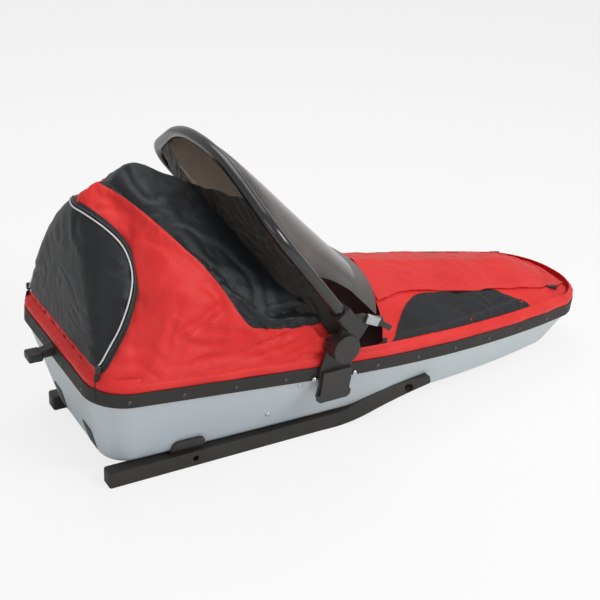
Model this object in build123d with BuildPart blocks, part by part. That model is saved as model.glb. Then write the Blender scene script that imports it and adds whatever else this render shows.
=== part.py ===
"""Child carrier pulk: a moulded sled tub with a fabric body and a tilting windscreen.

Millimetres. +X points to the bow, +Y to the left side, +Z up. The origin is on the floor under
the middle of the sled. Lengths along the sled are counted from the stern rim, and at() brings
them into that frame.
"""

from math import atan2, cos, degrees, hypot, radians, sin, tan
import os

from build123d import *

os.makedirs("parts", exist_ok=True)

# Tub
HULL_LENGTH = 1400.0        # stern rim to bow rim
HULL_WIDTH = 541.0          # over the rim strip at its widest place
HULL_WALL = 4.0
FLOOR_HEIGHT = 36.0         # underside of the tub above the snow
FLOOR_WIDTH = 356.0         # flat floor outside
FLOOR_START = 55.0          # the stern face leans out this far over the floor
BOW_RAKE = 78.0             # the bow leans out this far over the floor
FLOOR_CORNER = 62.0         # plan radius of the floor's stern corners
FLOOR_ROUND = 26.0          # radius between floor and sides
RIM_HEIGHT = 231.5          # lower edge of the rim strip above the snow, at the stern
RIM_FALL = 117.0            # the rim drops this much from stern to bow
RIM_CORNER = 82.0           # plan radius of the stern corners

# Plan outlines, as (share of the length, share of the half width) along one side
RIM_PLAN = ((0.22, 0.972), (0.43, 1.0), (0.69, 0.875), (0.93, 0.587), (0.984, 0.34))
FLOOR_PLAN = ((0.25, 0.985), (0.45, 1.0), (0.72, 0.965), (0.93, 0.73), (0.985, 0.45))
STERN_SHARE = 0.95

# Rim strip and fabric skirt
STRIP_HEIGHT = 30.0
STRIP_THICK = 6.0
STRIP_LIP = 3.0
SKIRT_HEIGHT = 20.0
SKIRT_INSET = 5.0
FABRIC = 4.0
SEAT_GAP = 0.3              # clearance where one piece rests on another

# Stern handle block, rub pads and bow cleats
BLOCK_REACH = 55.0
BLOCK_LENGTH = 32.0
BLOCK_WIDTH = 36.0
BLOCK_HEIGHT = 20.0
BLOCK_EDGE = 5.0
BLOCK_NECK = 22.0
PAD_SPACING = 180.0
PAD_LOW = 52.0
PAD_HEIGHT = 52.0
PAD_WIDTH = 46.0
PAD_DEPTH = 12.0
CLEAT_SPACING = 90.0
CLEAT_HEIGHT = 40.0
CLEAT_WIDTH = 40.0
CLEAT_DEPTH = 6.0
CLEAT_SET = 8.0             # the pads start this far behind the floor's end

# Runners
RUNNER_OUT = 190.0          # outer face from the middle plane
RUNNER_WIDTH = 33.0
RUNNER_START = 45.0
RUNNER_BEND = 580.0         # where the sole leaves the snow
RUNNER_TOE = (680.0, 20.0)  # from there the sole rises straight to the tip
RUNNER_END = 826.0
RUNNER_TIP_RISE = 83.0      # underside of the tip above the snow
RUNNER_TIP_HEIGHT = 18.0
RUNNER_TIP_ROUND = 7.0
RUNNER_SWEEP = ((740.0, 88.0), (690.0, 71.0), (640.0, 48.0))
RUNNER_FLARE = 46.0         # how far the tip stands out past the straight part
RUNNER_EDGE = 6.0
BORE_RADIUS = 7.0
REAR_BORE_AT = 244.0
REAR_BORE_HEIGHT = 17.5
FRONT_BORE_AT = 775.0
FRONT_BORE_HEIGHT = 74.0
FRONT_BORE_FACE = 215.0     # flat round the front bore, from the middle plane
FRONT_BORE_WEB = 8.0        # wall left between that flat and the relief behind it
SPOT_RADIUS = 11.0
TAB_AT = 227.0
TAB_LENGTH = 74.0
TAB_HEIGHT = 38.0
TAB_ROUND = 16.0
TAB_THICK = 6.0

# Windscreen bracket, clip and pivot
PIVOT_AT = 540.0
PIVOT_HEIGHT = 269.0
PIVOT_RADIUS = 32.0
FIXED_DISC = 10.0
TURNING_DISC = 12.0
KNOB_THICK = 11.0
DISC_GAP = 0.5
BRACKET_SET = 0.1           # the strip is this much narrower at the brackets than at its widest
BRACKET_THICK = 7.0
BRACKET_WIDTH = 80.0
BRACKET_NECK = 62.0
BRACKET_LOW = 146.0
BRACKET_SHOULDER = 218.0
PLATE_SHIFT = -8.0          # the plate and clip stand this far from the pivot's middle
PLATE_LEAN = 15.0           # lean of plate and clip below the rim strip, as the hull's side
CLIP_WIDTH = 72.0
CLIP_HOOK_WIDTH = 82.0
CLIP_THICK = 9.0
CLIP_LOW = 134.0
CLIP_HIGH = 214.0
CLIP_HOOK_HEIGHT = 16.0
CLIP_ROUND = 2.0

# Hoop, from its feet at the elbows over the shoulders to the crown
HOOP_TUBE = 25.0
HOOP_FOOT = (556.0, 290.0, 317.0)
HOOP_SHOULDER = (367.0, 296.0, 553.0)
HOOP_CROWN = (338.0, 94.0, 664.0)
HOOP_SHOULDER_BEND = 90.0
HOOP_CROWN_BEND = 320.0
ELBOW_LENGTH = 52.0
ELBOW_WIDTH = 36.0
ELBOW_START = 2.0
ELBOW_FLOOR = 4.0
ELBOW_ROUND = 6.0
ELBOW_BORE_GAP = 0.3
ELBOW_WEB = ((-16.0, 20.0), (32.0, 7.0), (58.0, 43.0), (50.0, 67.0), (5.0, 71.0))
LEVER_ROOT = (588.0, 330.0)
LEVER_TIP = (646.0, 298.0)
LEVER_BOSS = (625.0, 319.0)
LEVER_WIDTH = 12.0
LEVER_THICK = 8.0

# Pane and front strip, as places of an edge section's middle and of its sides
PANE_THICK = 4.0
PANE_SECTIONS = (
    # middle_at, middle_height, side_at, half_width, side_height
    (358.0, 662.0, 388.0, 272.0, 558.0),
    (424.0, 606.0, 452.0, 269.0, 474.0),
    (505.0, 526.5, 502.5, 262.0, 428.5),
    (678.0, 359.0, 572.0, 252.0, 379.0),
)
BAND_THICK = 6.0
BAND_FRONT = (715.5, 336.0, 634.0, 264.0, 315.0)

# Luggage hood, as cross-sections from stern to cockpit
HOOD_SECTIONS = (
    # base_at, base_height, top_at, top_height, half_width, shoulder_height
    (10.0, 230.0, 62.0, 560.0, 212.0, 400.0),
    (95.0, 225.0, 115.0, 606.0, 249.0, 400.0),
    (184.0, 220.0, 184.0, 636.0, 256.0, 400.0),
    (604.0, 212.0, 319.0, 584.0, 254.0, 380.0),
)
HOOD_SEAM = ((115.0, 600.0), (190.0, 540.0), (260.0, 457.0), (308.0, 373.0), (336.0, 340.0), (640.0, 312.0))
HOOD_ROUND = 45.0
HATCH_WIDTH = 440.0
HATCH_LOW = 290.0
HATCH_HIGH = 548.0
HATCH_THICK = 3.0
HATCH_DEPTH = 100.0

# Foot cover, as cross-sections from cockpit to bow
COVER_SECTIONS = (
    # base_at, ridge_at, ridge_height, half_width
    (652.0, 742.0, 336.0, 256.0),
    (900.0, 900.0, 309.0, 240.0),
    (1130.0, 1130.0, 264.0, 194.0),
    (1300.0, 1300.0, 216.0, 141.0),
    (1394.0, 1394.0, 157.0, 46.0),
)
COVER_GAP = 6.0             # the cover ends this far before the bow rim
COVER_SIDE = 18.0           # upright side above the skirt
PANEL_THICK = 2.5
PANEL_OUTLINE = ((745.0, 232.0), (790.0, 262.0), (860.0, 270.0), (1060.0, 222.0), (1075.0, 205.0))

# Child seat
CUSHION_THICK = 45.0
CUSHION_WIDTH = 300.0
CUSHION_REAR = 345.0
CUSHION_LENGTH = 300.0
CUSHION_EDGE = 14.0
BACK_THICK = 40.0
BACK_HEIGHT = 400.0
BACK_LEAN = 16.0
BACK_ROUND = 40.0
BACK_EDGE = 12.0
BELT_WIDTH = 30.0
BELT_THICK = 3.0
BELT_SPACING = 120.0
BELT_LOW_SHARE = 0.42
BELT_HIGH_SHARE = 0.86
BUCKLE_SIZE = 44.0

FLOOR_END = HULL_LENGTH - BOW_RAKE
RIM_ANGLE = degrees(atan2(RIM_FALL, HULL_LENGTH))
RIM_LENGTH = hypot(HULL_LENGTH, RIM_FALL)
MIDDLE = (HULL_LENGTH + STRIP_HEIGHT * sin(radians(RIM_ANGLE)) - BLOCK_REACH) / 2
HALF = HULL_WIDTH / 2
REACH = 2000.0              # longer than the sled, for cutters
SIDES = (("right", -1), ("left", 1))


def at(from_stern):
    """Place along the sled, counted from the stern rim."""
    return from_stern - MIDDLE


def rim_plane(above=0.0):
    """Plane of the rim strip's lower edge, raised along its own normal."""
    lean = radians(RIM_ANGLE)
    plane = Plane(
        origin=(at(0), 0, RIM_HEIGHT),
        x_dir=(cos(lean), 0, -sin(lean)),
        z_dir=(sin(lean), 0, cos(lean)),
    )
    return plane.offset(above)


def rim_height(from_stern):
    """Height over the snow of the rim strip's lower edge at a place along the sled."""
    return RIM_HEIGHT - RIM_FALL * from_stern / HULL_LENGTH


def cross_plane(base_at, base_height, top_at, top_height):
    """Plane across the sled through two points of the middle plane, the second one above."""
    rise = hypot(top_at - base_at, top_height - base_height)
    up = ((top_at - base_at) / rise, 0, (top_height - base_height) / rise)
    return Plane(origin=(at(base_at), 0, base_height), x_dir=(0, 1, 0), z_dir=(up[2], 0, -up[0])), rise


def plan_face(plane, start, end, half, corner, shares):
    """Plan outline of the tub: stern corners, two long arcs a side and the blunt bow."""
    length = end - start
    mid, wide, taper, cheek, nose = [(start + along * length, out * half) for along, out in shares]
    stern = STERN_SHARE * half
    cut = corner * (1 - cos(radians(45)))
    with BuildSketch(plane) as plan:
        with BuildLine():
            Line((start, 0), (start, stern - corner))
            ThreePointArc((start, stern - corner), (start + cut, stern - cut), (start + corner, stern))
            ThreePointArc((start + corner, stern), mid, wide)
            ThreePointArc(wide, taper, cheek)
            ThreePointArc(cheek, nose, (end, 0))
            mirror(about=Plane.XZ)
        make_face()
    return plan.sketch


def rim_face(inset=0.0, above=0.0):
    """Plan outline of the rim on the rim plane, drawn in from the strip's outer face."""
    return plan_face(rim_plane(above), inset, RIM_LENGTH - inset, HALF - inset, RIM_CORNER - inset, RIM_PLAN)


def tub(inset=0.0, top=STRIP_HEIGHT - STRIP_LIP):
    """Solid form of the tub, drawn in from the hull's outer face."""
    floor = plan_face(
        Plane(origin=(at(0), 0, FLOOR_HEIGHT + inset)),
        FLOOR_START + inset,
        FLOOR_END - inset,
        FLOOR_WIDTH / 2 - inset,
        FLOOR_CORNER - inset,
        FLOOR_PLAN,
    )
    rim = rim_face(STRIP_THICK + SEAT_GAP + inset)
    with BuildPart() as form:
        loft([floor, rim])
        fillet(form.edges().group_by(Axis.Z)[0], FLOOR_ROUND - inset)
        extrude(rim, amount=top)
    return form.part


def arch_face(plane, rise, half, shoulder, fullness):
    """Cross-section with upright sides and a round top, standing on its plane's X axis."""
    knee = (half * fullness, shoulder + (rise - shoulder) * fullness)
    with BuildSketch(plane) as section:
        with BuildLine():
            Line((0, 0), (half, 0))
            Line((half, 0), (half, shoulder))
            ThreePointArc((half, shoulder), knee, (0, rise))
            mirror(about=Plane.YZ)
        make_face()
    return section.sketch


def hood_form(inset=0.0, longer=0.0):
    """Solid form of the luggage hood, drawn in from its outer face."""
    last = len(HOOD_SECTIONS) - 1
    sections = []
    for index, (base_at, base_height, top_at, top_height, half, shoulder) in enumerate(HOOD_SECTIONS):
        shift = inset if index == 0 else 0.0
        shift = longer if index == last else shift
        plane, rise = cross_plane(base_at + shift, base_height, top_at + shift, top_height)
        sections.append(arch_face(plane, rise - inset, half - inset, shoulder - base_height, 0.74))
    stern = Vector(at(HOOD_SECTIONS[0][0] + inset), 0, HOOD_SECTIONS[0][1])
    with BuildPart() as form:
        loft(sections)
        wall = form.faces().sort_by_distance(stern)[0]
        fillet(wall.edges().sort_by(Axis.Z)[1:], HOOD_ROUND - inset)
    return form.part


def cover_form(inset=0.0, longer=0.0):
    """Solid form of the foot cover, drawn in from its outer face."""
    first, last = COVER_SECTIONS[0][0], len(COVER_SECTIONS) - 1
    stretch = (HULL_LENGTH - COVER_GAP - first) / (COVER_SECTIONS[last][0] - first)
    sections = []
    for index, (base_at, ridge_at, ridge_height, half) in enumerate(COVER_SECTIONS):
        base_at, ridge_at = [first + (place - first) * stretch for place in (base_at, ridge_at)]
        base = rim_height(base_at) + STRIP_HEIGHT
        shift = -longer if index == 0 else 0.0
        shift = -inset if index == last else shift
        plane, rise = cross_plane(base_at + shift, base, ridge_at + shift, ridge_height)
        shoulder = SKIRT_HEIGHT + COVER_SIDE
        sections.append(arch_face(plane, rise - inset, half - inset, shoulder - inset, 0.68))
    with BuildPart() as form:
        loft(sections)
    return form.part


def side_prism(outline, near=0.0, far=HALF + 60.0):
    """Right-hand prism across the sled over an outline of (from stern, height) points."""
    with BuildPart() as prism:
        with BuildSketch(Plane.XZ.offset(near)):
            with BuildLine():
                Polyline([(at(place), height) for place, height in outline], close=True)
            make_face()
        extrude(amount=far - near)
    return prism.part


def band_face(middle_at, middle_height, side_at, half, side_height, thick):
    """Thin arched cross-section of the pane, with its legs towards the sled's sides."""
    plane, rise = cross_plane(side_at, side_height, middle_at, middle_height)
    with BuildSketch(plane) as section:
        with BuildLine():
            ThreePointArc((-half, 0), (0, rise), (half, 0))
            Line((half, 0), (half - thick, 0))
            ThreePointArc((half - thick, 0), (0, rise - thick), (thick - half, 0))
            Line((thick - half, 0), (-half, 0))
        make_face()
    return section.sketch


def finish(part, name):
    """Name a piece and write it out."""
    part.label = name
    export_step(part, "parts/" + name + ".step")


def mirrored(part, side):
    """The right-hand piece as it is, or its mirror image for the left side."""
    return part if side < 0 else part.mirror(Plane.XZ)


# Hull: an open tub of even wall
hull_outer = tub()
hull_inner = tub(HULL_WALL, STRIP_HEIGHT * 2)
with BuildPart() as hull:
    add(hull_outer)
    add(hull_inner, mode=Mode.SUBTRACT)
finish(hull.part, "hull")

# Rim strip: a hooked edge profile that wraps the hull's rim
with BuildPart() as rim_strip:
    extrude(rim_face(), amount=STRIP_HEIGHT)
    extrude(rim_face(STRIP_THICK), amount=STRIP_HEIGHT - STRIP_LIP + SEAT_GAP, mode=Mode.SUBTRACT)
    extrude(rim_face(STRIP_THICK + HULL_WALL + STRIP_THICK), amount=STRIP_HEIGHT, mode=Mode.SUBTRACT)
finish(rim_strip.part, "rim_strip")

# Skirt: the fabric body's lower band, held under the strip's rivets
skirt_foot = STRIP_HEIGHT + SEAT_GAP
with BuildPart() as skirt:
    extrude(rim_face(SKIRT_INSET, skirt_foot), amount=SKIRT_HEIGHT)
    extrude(rim_face(SKIRT_INSET + FABRIC, skirt_foot), amount=SKIRT_HEIGHT, mode=Mode.SUBTRACT)
finish(skirt.part, "skirt")

# Stern block: rounded handle block on a neck that runs up into the strip
block_low = RIM_HEIGHT + 2
block_top = block_low + BLOCK_HEIGHT
neck_end = -BLOCK_REACH + BLOCK_LENGTH / 2
with BuildPart() as stern_block:
    with BuildSketch(Plane(origin=(at(-BLOCK_REACH), 0, block_low))):
        Rectangle(BLOCK_LENGTH, BLOCK_WIDTH, align=(Align.MIN, Align.CENTER))
    extrude(amount=BLOCK_HEIGHT)
    fillet(stern_block.edges(), BLOCK_EDGE)
    with BuildSketch(Plane.XZ.offset(-BLOCK_NECK / 2)):
        with BuildLine():
            Polyline(
                (at(neck_end), block_low + 3), (at(STRIP_THICK), block_low + 6),
                (at(STRIP_THICK), RIM_HEIGHT + STRIP_HEIGHT - 1), (at(neck_end), block_top - 3), close=True,
            )
        make_face()
    extrude(amount=BLOCK_NECK)
    extrude(rim_face(-SEAT_GAP, -BLOCK_HEIGHT * 2), amount=BLOCK_HEIGHT * 5, mode=Mode.SUBTRACT)
finish(stern_block.part, "stern_block")

# Stern pads: half-lens rub pads low on the stern face
stern_slope = FLOOR_START / (RIM_HEIGHT - FLOOR_HEIGHT)
pad_rise = hypot(PAD_HEIGHT, PAD_HEIGHT * stern_slope)
pad_foot = FLOOR_START - (PAD_LOW - FLOOR_HEIGHT) * stern_slope
for name, side in SIDES:
    stand = Plane(
        origin=(at(pad_foot), side * PAD_SPACING / 2 - PAD_WIDTH / 2, PAD_LOW),
        x_dir=(-stern_slope, 0, 1),
        z_dir=(0, 1, 0),
    )
    with BuildPart() as stern_pad:
        with BuildSketch(stand):
            with BuildLine():
                ThreePointArc((0, 0), (pad_rise / 2, PAD_DEPTH), (pad_rise, 0))
                Line((pad_rise, 0), (0, 0))
            make_face()
        extrude(amount=PAD_WIDTH)
        add(tub(-SEAT_GAP), mode=Mode.SUBTRACT)
    finish(stern_pad.part, "stern_pad_" + name)

# Bow cleats: half-lens rub pads where the floor turns up to the bow
bow_slope = BOW_RAKE / (rim_height(HULL_LENGTH) - FLOOR_HEIGHT)
cleat_rise = hypot(CLEAT_HEIGHT, CLEAT_HEIGHT * bow_slope)
for name, side in SIDES:
    stand = Plane(
        origin=(at(FLOOR_END - CLEAT_SET), side * CLEAT_SPACING / 2 + CLEAT_WIDTH / 2, FLOOR_HEIGHT),
        x_dir=(bow_slope, 0, 1),
        z_dir=(0, -1, 0),
    )
    with BuildPart() as bow_cleat:
        with BuildSketch(stand):
            with BuildLine():
                ThreePointArc((0, 0), (cleat_rise / 2, CLEAT_DEPTH), (cleat_rise, 0))
                Line((cleat_rise, 0), (cleat_rise / 2, -CLEAT_DEPTH * 3))
                Line((cleat_rise / 2, -CLEAT_DEPTH * 3), (0, 0))
            make_face()
        extrude(amount=CLEAT_WIDTH)
        add(tub(-SEAT_GAP), mode=Mode.SUBTRACT)
    finish(bow_cleat.part, "bow_cleat_" + name)

# Runners: the meet of a side profile and a plan profile, seated on the hull
runner_top = FLOOR_HEIGHT - SEAT_GAP
with BuildPart() as runner_bar:
    with BuildSketch(Plane.XZ):
        with BuildLine():
            sole = Line((at(RUNNER_START), 0), (at(RUNNER_BEND), 0))
            toe = TangentArc((at(RUNNER_BEND), 0), (at(RUNNER_TOE[0]), RUNNER_TOE[1]), tangent=(1, 0))
            tip = Line(toe @ 1, (at(RUNNER_END), RUNNER_TIP_RISE))
            tip_top = (at(RUNNER_END) - 4, RUNNER_TIP_RISE + RUNNER_TIP_HEIGHT)
            Line(tip @ 1, tip_top)
            Spline(tip_top, *[(at(place), height) for place, height in RUNNER_SWEEP],
                   (at(RUNNER_BEND), runner_top), tangents=((-1, -0.14), (-1, -0.05)))
            Line((at(RUNNER_BEND), runner_top), (at(RUNNER_START), runner_top))
            Line((at(RUNNER_START), runner_top), (at(RUNNER_START), 0))
        profile = make_face()
        fillet(profile.vertices().group_by(Axis.X)[-1], RUNNER_TIP_ROUND)
    extrude(amount=REACH / 4)
    with BuildSketch():
        with BuildLine():
            outer = Line((at(RUNNER_START), -RUNNER_OUT), (at(RUNNER_BEND) - 40, -RUNNER_OUT))
            flare = TangentArc(outer @ 1, (at(RUNNER_END), -RUNNER_OUT - RUNNER_FLARE), tangent=(1, 0))
            Line(flare @ 1, (at(RUNNER_END), -RUNNER_OUT))
            Line((at(RUNNER_END), -RUNNER_OUT), (at(RUNNER_BEND), RUNNER_WIDTH - RUNNER_OUT))
            Line((at(RUNNER_BEND), RUNNER_WIDTH - RUNNER_OUT), (at(RUNNER_START), RUNNER_WIDTH - RUNNER_OUT))
            Line((at(RUNNER_START), RUNNER_WIDTH - RUNNER_OUT), (at(RUNNER_START), -RUNNER_OUT))
        make_face()
    extrude(amount=REACH / 4, mode=Mode.INTERSECT)
    fillet(runner_bar.edges().group_by(Axis.X)[0], RUNNER_EDGE)
    add(tub(-SEAT_GAP), mode=Mode.SUBTRACT)
    for place, height in ((REAR_BORE_AT, REAR_BORE_HEIGHT), (FRONT_BORE_AT, FRONT_BORE_HEIGHT)):
        with BuildSketch(Plane(origin=(at(place), 0, height), x_dir=(1, 0, 0), z_dir=(0, -1, 0))):
            Circle(BORE_RADIUS)
        extrude(amount=REACH / 4, mode=Mode.SUBTRACT)
    for face, reach in ((FRONT_BORE_FACE, REACH / 4), (FRONT_BORE_FACE - FRONT_BORE_WEB, -REACH / 4)):
        with BuildSketch(Plane.XZ.offset(face)):
            with Locations((at(FRONT_BORE_AT), FRONT_BORE_HEIGHT)):
                Circle(SPOT_RADIUS)
        extrude(amount=reach, mode=Mode.SUBTRACT)
for name, side in SIDES:
    finish(mirrored(runner_bar.part, side), "runner_" + name)

# Runner tabs: half-oval tabs that hold the runners to the hull's sides
with BuildPart() as tab_form:
    with BuildSketch(Plane.XZ.offset(FLOOR_WIDTH / 2 - RUNNER_WIDTH)):
        with Locations((at(TAB_AT), FLOOR_HEIGHT)):
            RectangleRounded(TAB_LENGTH, TAB_HEIGHT * 2, TAB_ROUND)
            Rectangle(TAB_LENGTH, TAB_HEIGHT * 2, align=(Align.CENTER, Align.MAX), mode=Mode.SUBTRACT)
    extrude(amount=RUNNER_WIDTH * 3)
    add(tub(-TAB_THICK), mode=Mode.INTERSECT)
    add(tub(-SEAT_GAP), mode=Mode.SUBTRACT)
for name, side in SIDES:
    finish(mirrored(tab_form.part, side), "runner_tab_" + name)

# Brackets: neck with the fixed half of the windscreen's pivot, and a plate that leans with the hull
bracket_face = HALF - BRACKET_SET
plate_at = at(PIVOT_AT) + PLATE_SHIFT
plate_bend = rim_height(PIVOT_AT + BRACKET_WIDTH)
plate_foot = bracket_face - (plate_bend - CLIP_LOW) * tan(radians(PLATE_LEAN))


def plate_layer(inner, outer, flush=False):
    """Bent layer along the sled, between two distances from the bracket's inner face."""
    layer = [(bracket_face + inner, PIVOT_HEIGHT), (bracket_face + inner, plate_bend), (plate_foot + inner, CLIP_LOW)]
    layer += [(plate_foot + outer, CLIP_LOW)]
    if not flush:
        layer += [(bracket_face + outer, plate_bend)]
    layer += [(bracket_face + outer, CLIP_HIGH if flush else PIVOT_HEIGHT)]
    layer += [(bracket_face + inner, CLIP_HIGH)] if flush else []
    if flush:
        layer = layer[1:]
    with BuildPart() as sheet:
        with BuildSketch(Plane.YZ.offset(at(PIVOT_AT) - REACH / 8)):
            with BuildLine():
                Polyline([(-out, height) for out, height in layer], close=True)
            make_face()
        extrude(amount=REACH / 4)
    return sheet.part


with BuildPart() as bracket:
    with BuildSketch(Plane.XZ.offset(HALF / 2)):
        with BuildLine():
            Polyline(
                (plate_at - BRACKET_WIDTH / 2, BRACKET_LOW),
                (plate_at + BRACKET_WIDTH / 2, BRACKET_LOW),
                (plate_at + BRACKET_WIDTH / 2, BRACKET_SHOULDER),
                (at(PIVOT_AT) + BRACKET_NECK / 2, PIVOT_HEIGHT),
                (at(PIVOT_AT) - BRACKET_NECK / 2, PIVOT_HEIGHT),
                (plate_at - BRACKET_WIDTH / 2, BRACKET_SHOULDER),
                close=True,
            )
        make_face()
    extrude(amount=HALF)
    add(plate_layer(0, BRACKET_THICK), mode=Mode.INTERSECT)
    with BuildSketch(Plane.XZ.offset(bracket_face)):
        with Locations((at(PIVOT_AT), PIVOT_HEIGHT)):
            Circle(PIVOT_RADIUS)
    extrude(amount=FIXED_DISC)
for name, side in SIDES:
    finish(mirrored(bracket.part, side), "bracket_" + name)

# Clips: spring clip plates with hooks at their feet
with BuildPart() as clip:
    with BuildSketch(Plane.XZ.offset(HALF / 2)):
        with Locations((plate_at, (CLIP_LOW + CLIP_HIGH) / 2)):
            Rectangle(CLIP_WIDTH, CLIP_HIGH - CLIP_LOW)
        with Locations((plate_at, CLIP_LOW + CLIP_HOOK_HEIGHT * 0.8)):
            Rectangle(CLIP_HOOK_WIDTH, CLIP_HOOK_HEIGHT)
    extrude(amount=HALF)
    fillet(clip.edges().filter_by(Axis.Y), CLIP_ROUND)
    add(plate_layer(BRACKET_THICK + SEAT_GAP, BRACKET_THICK + SEAT_GAP + CLIP_THICK, flush=True), mode=Mode.INTERSECT)
for name, side in SIDES:
    finish(mirrored(clip.part, side), "clip_" + name)

# Hoop: bent tube from foot to foot
foot_place, foot_out, foot_height = HOOP_FOOT
shoulder_place, shoulder_out, shoulder_height = HOOP_SHOULDER
leg = Vector(shoulder_place - foot_place, foot_out - shoulder_out, shoulder_height - foot_height).normalized()
foot_centre = Vector(at(foot_place), -foot_out, foot_height)
seated_foot = foot_centre + leg * (ELBOW_START + ELBOW_FLOOR + SEAT_GAP)
hoop_path = [(seated_foot.X + MIDDLE, -seated_foot.Y, seated_foot.Z), HOOP_SHOULDER, HOOP_CROWN]
corners = [(at(x), -y, z) for x, y, z in hoop_path] + [(at(x), y, z) for x, y, z in reversed(hoop_path)]
bends = (HOOP_SHOULDER_BEND, HOOP_CROWN_BEND, HOOP_CROWN_BEND, HOOP_SHOULDER_BEND)
with BuildPart() as hoop:
    with BuildLine():
        route = FilletPolyline(*corners, radius=bends)
    with BuildSketch(Plane(origin=route @ 0, z_dir=route % 0)):
        Circle(HOOP_TUBE / 2)
    sweep()
finish(hoop.part, "hoop")

# Elbows: turning half of the pivot with the socket that holds the hoop's foot
turning_face = bracket_face + FIXED_DISC + DISC_GAP
with BuildPart() as elbow:
    with BuildSketch(Plane.XZ.offset(turning_face)):
        with Locations((at(PIVOT_AT), PIVOT_HEIGHT)):
            Circle(PIVOT_RADIUS)
        with BuildLine():
            Polyline([(at(PIVOT_AT) + ahead, PIVOT_HEIGHT + up) for ahead, up in ELBOW_WEB], close=True)
        make_face()
    extrude(amount=TURNING_DISC)
    with BuildSketch(Plane(origin=foot_centre + leg * ELBOW_START, z_dir=leg)):
        RectangleRounded(ELBOW_WIDTH, ELBOW_WIDTH, ELBOW_ROUND)
    extrude(amount=ELBOW_LENGTH)
    with BuildSketch(Plane(origin=foot_centre + leg * (ELBOW_START + ELBOW_FLOOR), z_dir=leg)):
        Circle(HOOP_TUBE / 2 + ELBOW_BORE_GAP)
    extrude(amount=ELBOW_LENGTH, mode=Mode.SUBTRACT)
for name, side in SIDES:
    finish(mirrored(elbow.part, side), "elbow_" + name)

# Knobs: outer caps of the pivots
knob_face = turning_face + TURNING_DISC + SEAT_GAP
with BuildPart() as knob:
    with BuildSketch(Plane.XZ.offset(knob_face)):
        with Locations((at(PIVOT_AT), PIVOT_HEIGHT)):
            Circle(PIVOT_RADIUS)
    extrude(amount=KNOB_THICK)
    fillet(knob.edges().group_by(Axis.Y)[0], 2)
for name, side in SIDES:
    finish(mirrored(knob.part, side), "knob_" + name)

# Pane: smoky sheet bent from the hoop down to the front strip
with BuildPart() as pane:
    loft([band_face(*row, PANE_THICK) for row in PANE_SECTIONS])
finish(pane.part, "pane")

# Screen strip: moulded band along the pane's front edge
with BuildPart() as screen_strip:
    loft([band_face(*PANE_SECTIONS[-1], BAND_THICK), band_face(*BAND_FRONT, BAND_THICK)])
finish(screen_strip.part, "screen_strip")

# Levers: toggle levers that hold the strip's corners to the elbows
lever_face = turning_face + TURNING_DISC + SEAT_GAP
boss_face = BAND_FRONT[3] + SEAT_GAP
lever_dx = LEVER_TIP[0] - LEVER_ROOT[0]
lever_dz = LEVER_TIP[1] - LEVER_ROOT[1]
with BuildPart() as lever:
    with BuildSketch(Plane.XZ.offset(lever_face)):
        with Locations((at((LEVER_ROOT[0] + LEVER_TIP[0]) / 2), (LEVER_ROOT[1] + LEVER_TIP[1]) / 2)):
            SlotOverall(hypot(lever_dx, lever_dz), LEVER_WIDTH, rotation=degrees(atan2(lever_dz, lever_dx)))
    extrude(amount=LEVER_THICK)
    with BuildSketch(Plane.XZ.offset(boss_face)):
        with Locations((at(LEVER_BOSS[0]), LEVER_BOSS[1])):
            Rectangle(LEVER_WIDTH, LEVER_WIDTH)
    extrude(amount=lever_face + LEVER_THICK - boss_face)
for name, side in SIDES:
    finish(mirrored(lever.part, side), "lever_" + name)

# Luggage hood: red shell and black cockpit end, open below and to the front
skirt_top = rim_plane(skirt_foot + SKIRT_HEIGHT + SEAT_GAP)
with BuildPart() as hood_shell:
    add(hood_form())
    add(hood_form(FABRIC, FABRIC * 2), mode=Mode.SUBTRACT)
    split(bisect_by=skirt_top, keep=Keep.TOP)
seam_area = [(700.0, 150.0), (700.0, 760.0), (115.0, 760.0)] + list(HOOD_SEAM)
seam_prism = side_prism(seam_area, -REACH / 4, REACH / 4)
with BuildPart() as hood:
    add(hood_shell.part)
    add(seam_prism, mode=Mode.SUBTRACT)
finish(hood.part, "hood")
with BuildPart() as hood_front:
    add(hood_shell.part)
    add(seam_prism, mode=Mode.INTERSECT)
finish(hood_front.part, "hood_front")

# Hatch: zipped panel that lies on the hood's stern
with BuildPart() as hatch:
    with BuildSketch(Plane(origin=(at(-20), 0, 0), x_dir=(0, 1, 0), z_dir=(1, 0, 0))):
        with BuildLine():
            low = HATCH_WIDTH * 0.46
            Line((0, HATCH_LOW), (low, HATCH_LOW))
            Line((low, HATCH_LOW), (HATCH_WIDTH / 2, HATCH_LOW + 120))
            ThreePointArc((HATCH_WIDTH / 2, HATCH_LOW + 120), (HATCH_WIDTH * 0.4, HATCH_HIGH - 50), (0, HATCH_HIGH))
            mirror(about=Plane.YZ)
        make_face()
    extrude(amount=HATCH_DEPTH)
    add(hood_form(-SEAT_GAP - HATCH_THICK), mode=Mode.INTERSECT)
    add(hood_form(-SEAT_GAP), mode=Mode.SUBTRACT)
finish(hatch.part, "hatch")

# Foot cover: tent-shaped fabric over the bow, open below and to the cockpit
with BuildPart() as foot_cover:
    add(cover_form())
    add(cover_form(FABRIC, FABRIC * 3), mode=Mode.SUBTRACT)
    split(bisect_by=skirt_top, keep=Keep.TOP)
finish(foot_cover.part, "foot_cover")

# Side panels: black fabric panels on the foot cover's sides
with BuildPart() as side_panel:
    add(cover_form(-SEAT_GAP - PANEL_THICK))
    add(cover_form(-SEAT_GAP), mode=Mode.SUBTRACT)
    add(side_prism(PANEL_OUTLINE, HALF / 3), mode=Mode.INTERSECT)
for name, side in SIDES:
    finish(mirrored(side_panel.part, side), "side_panel_" + name)

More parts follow.
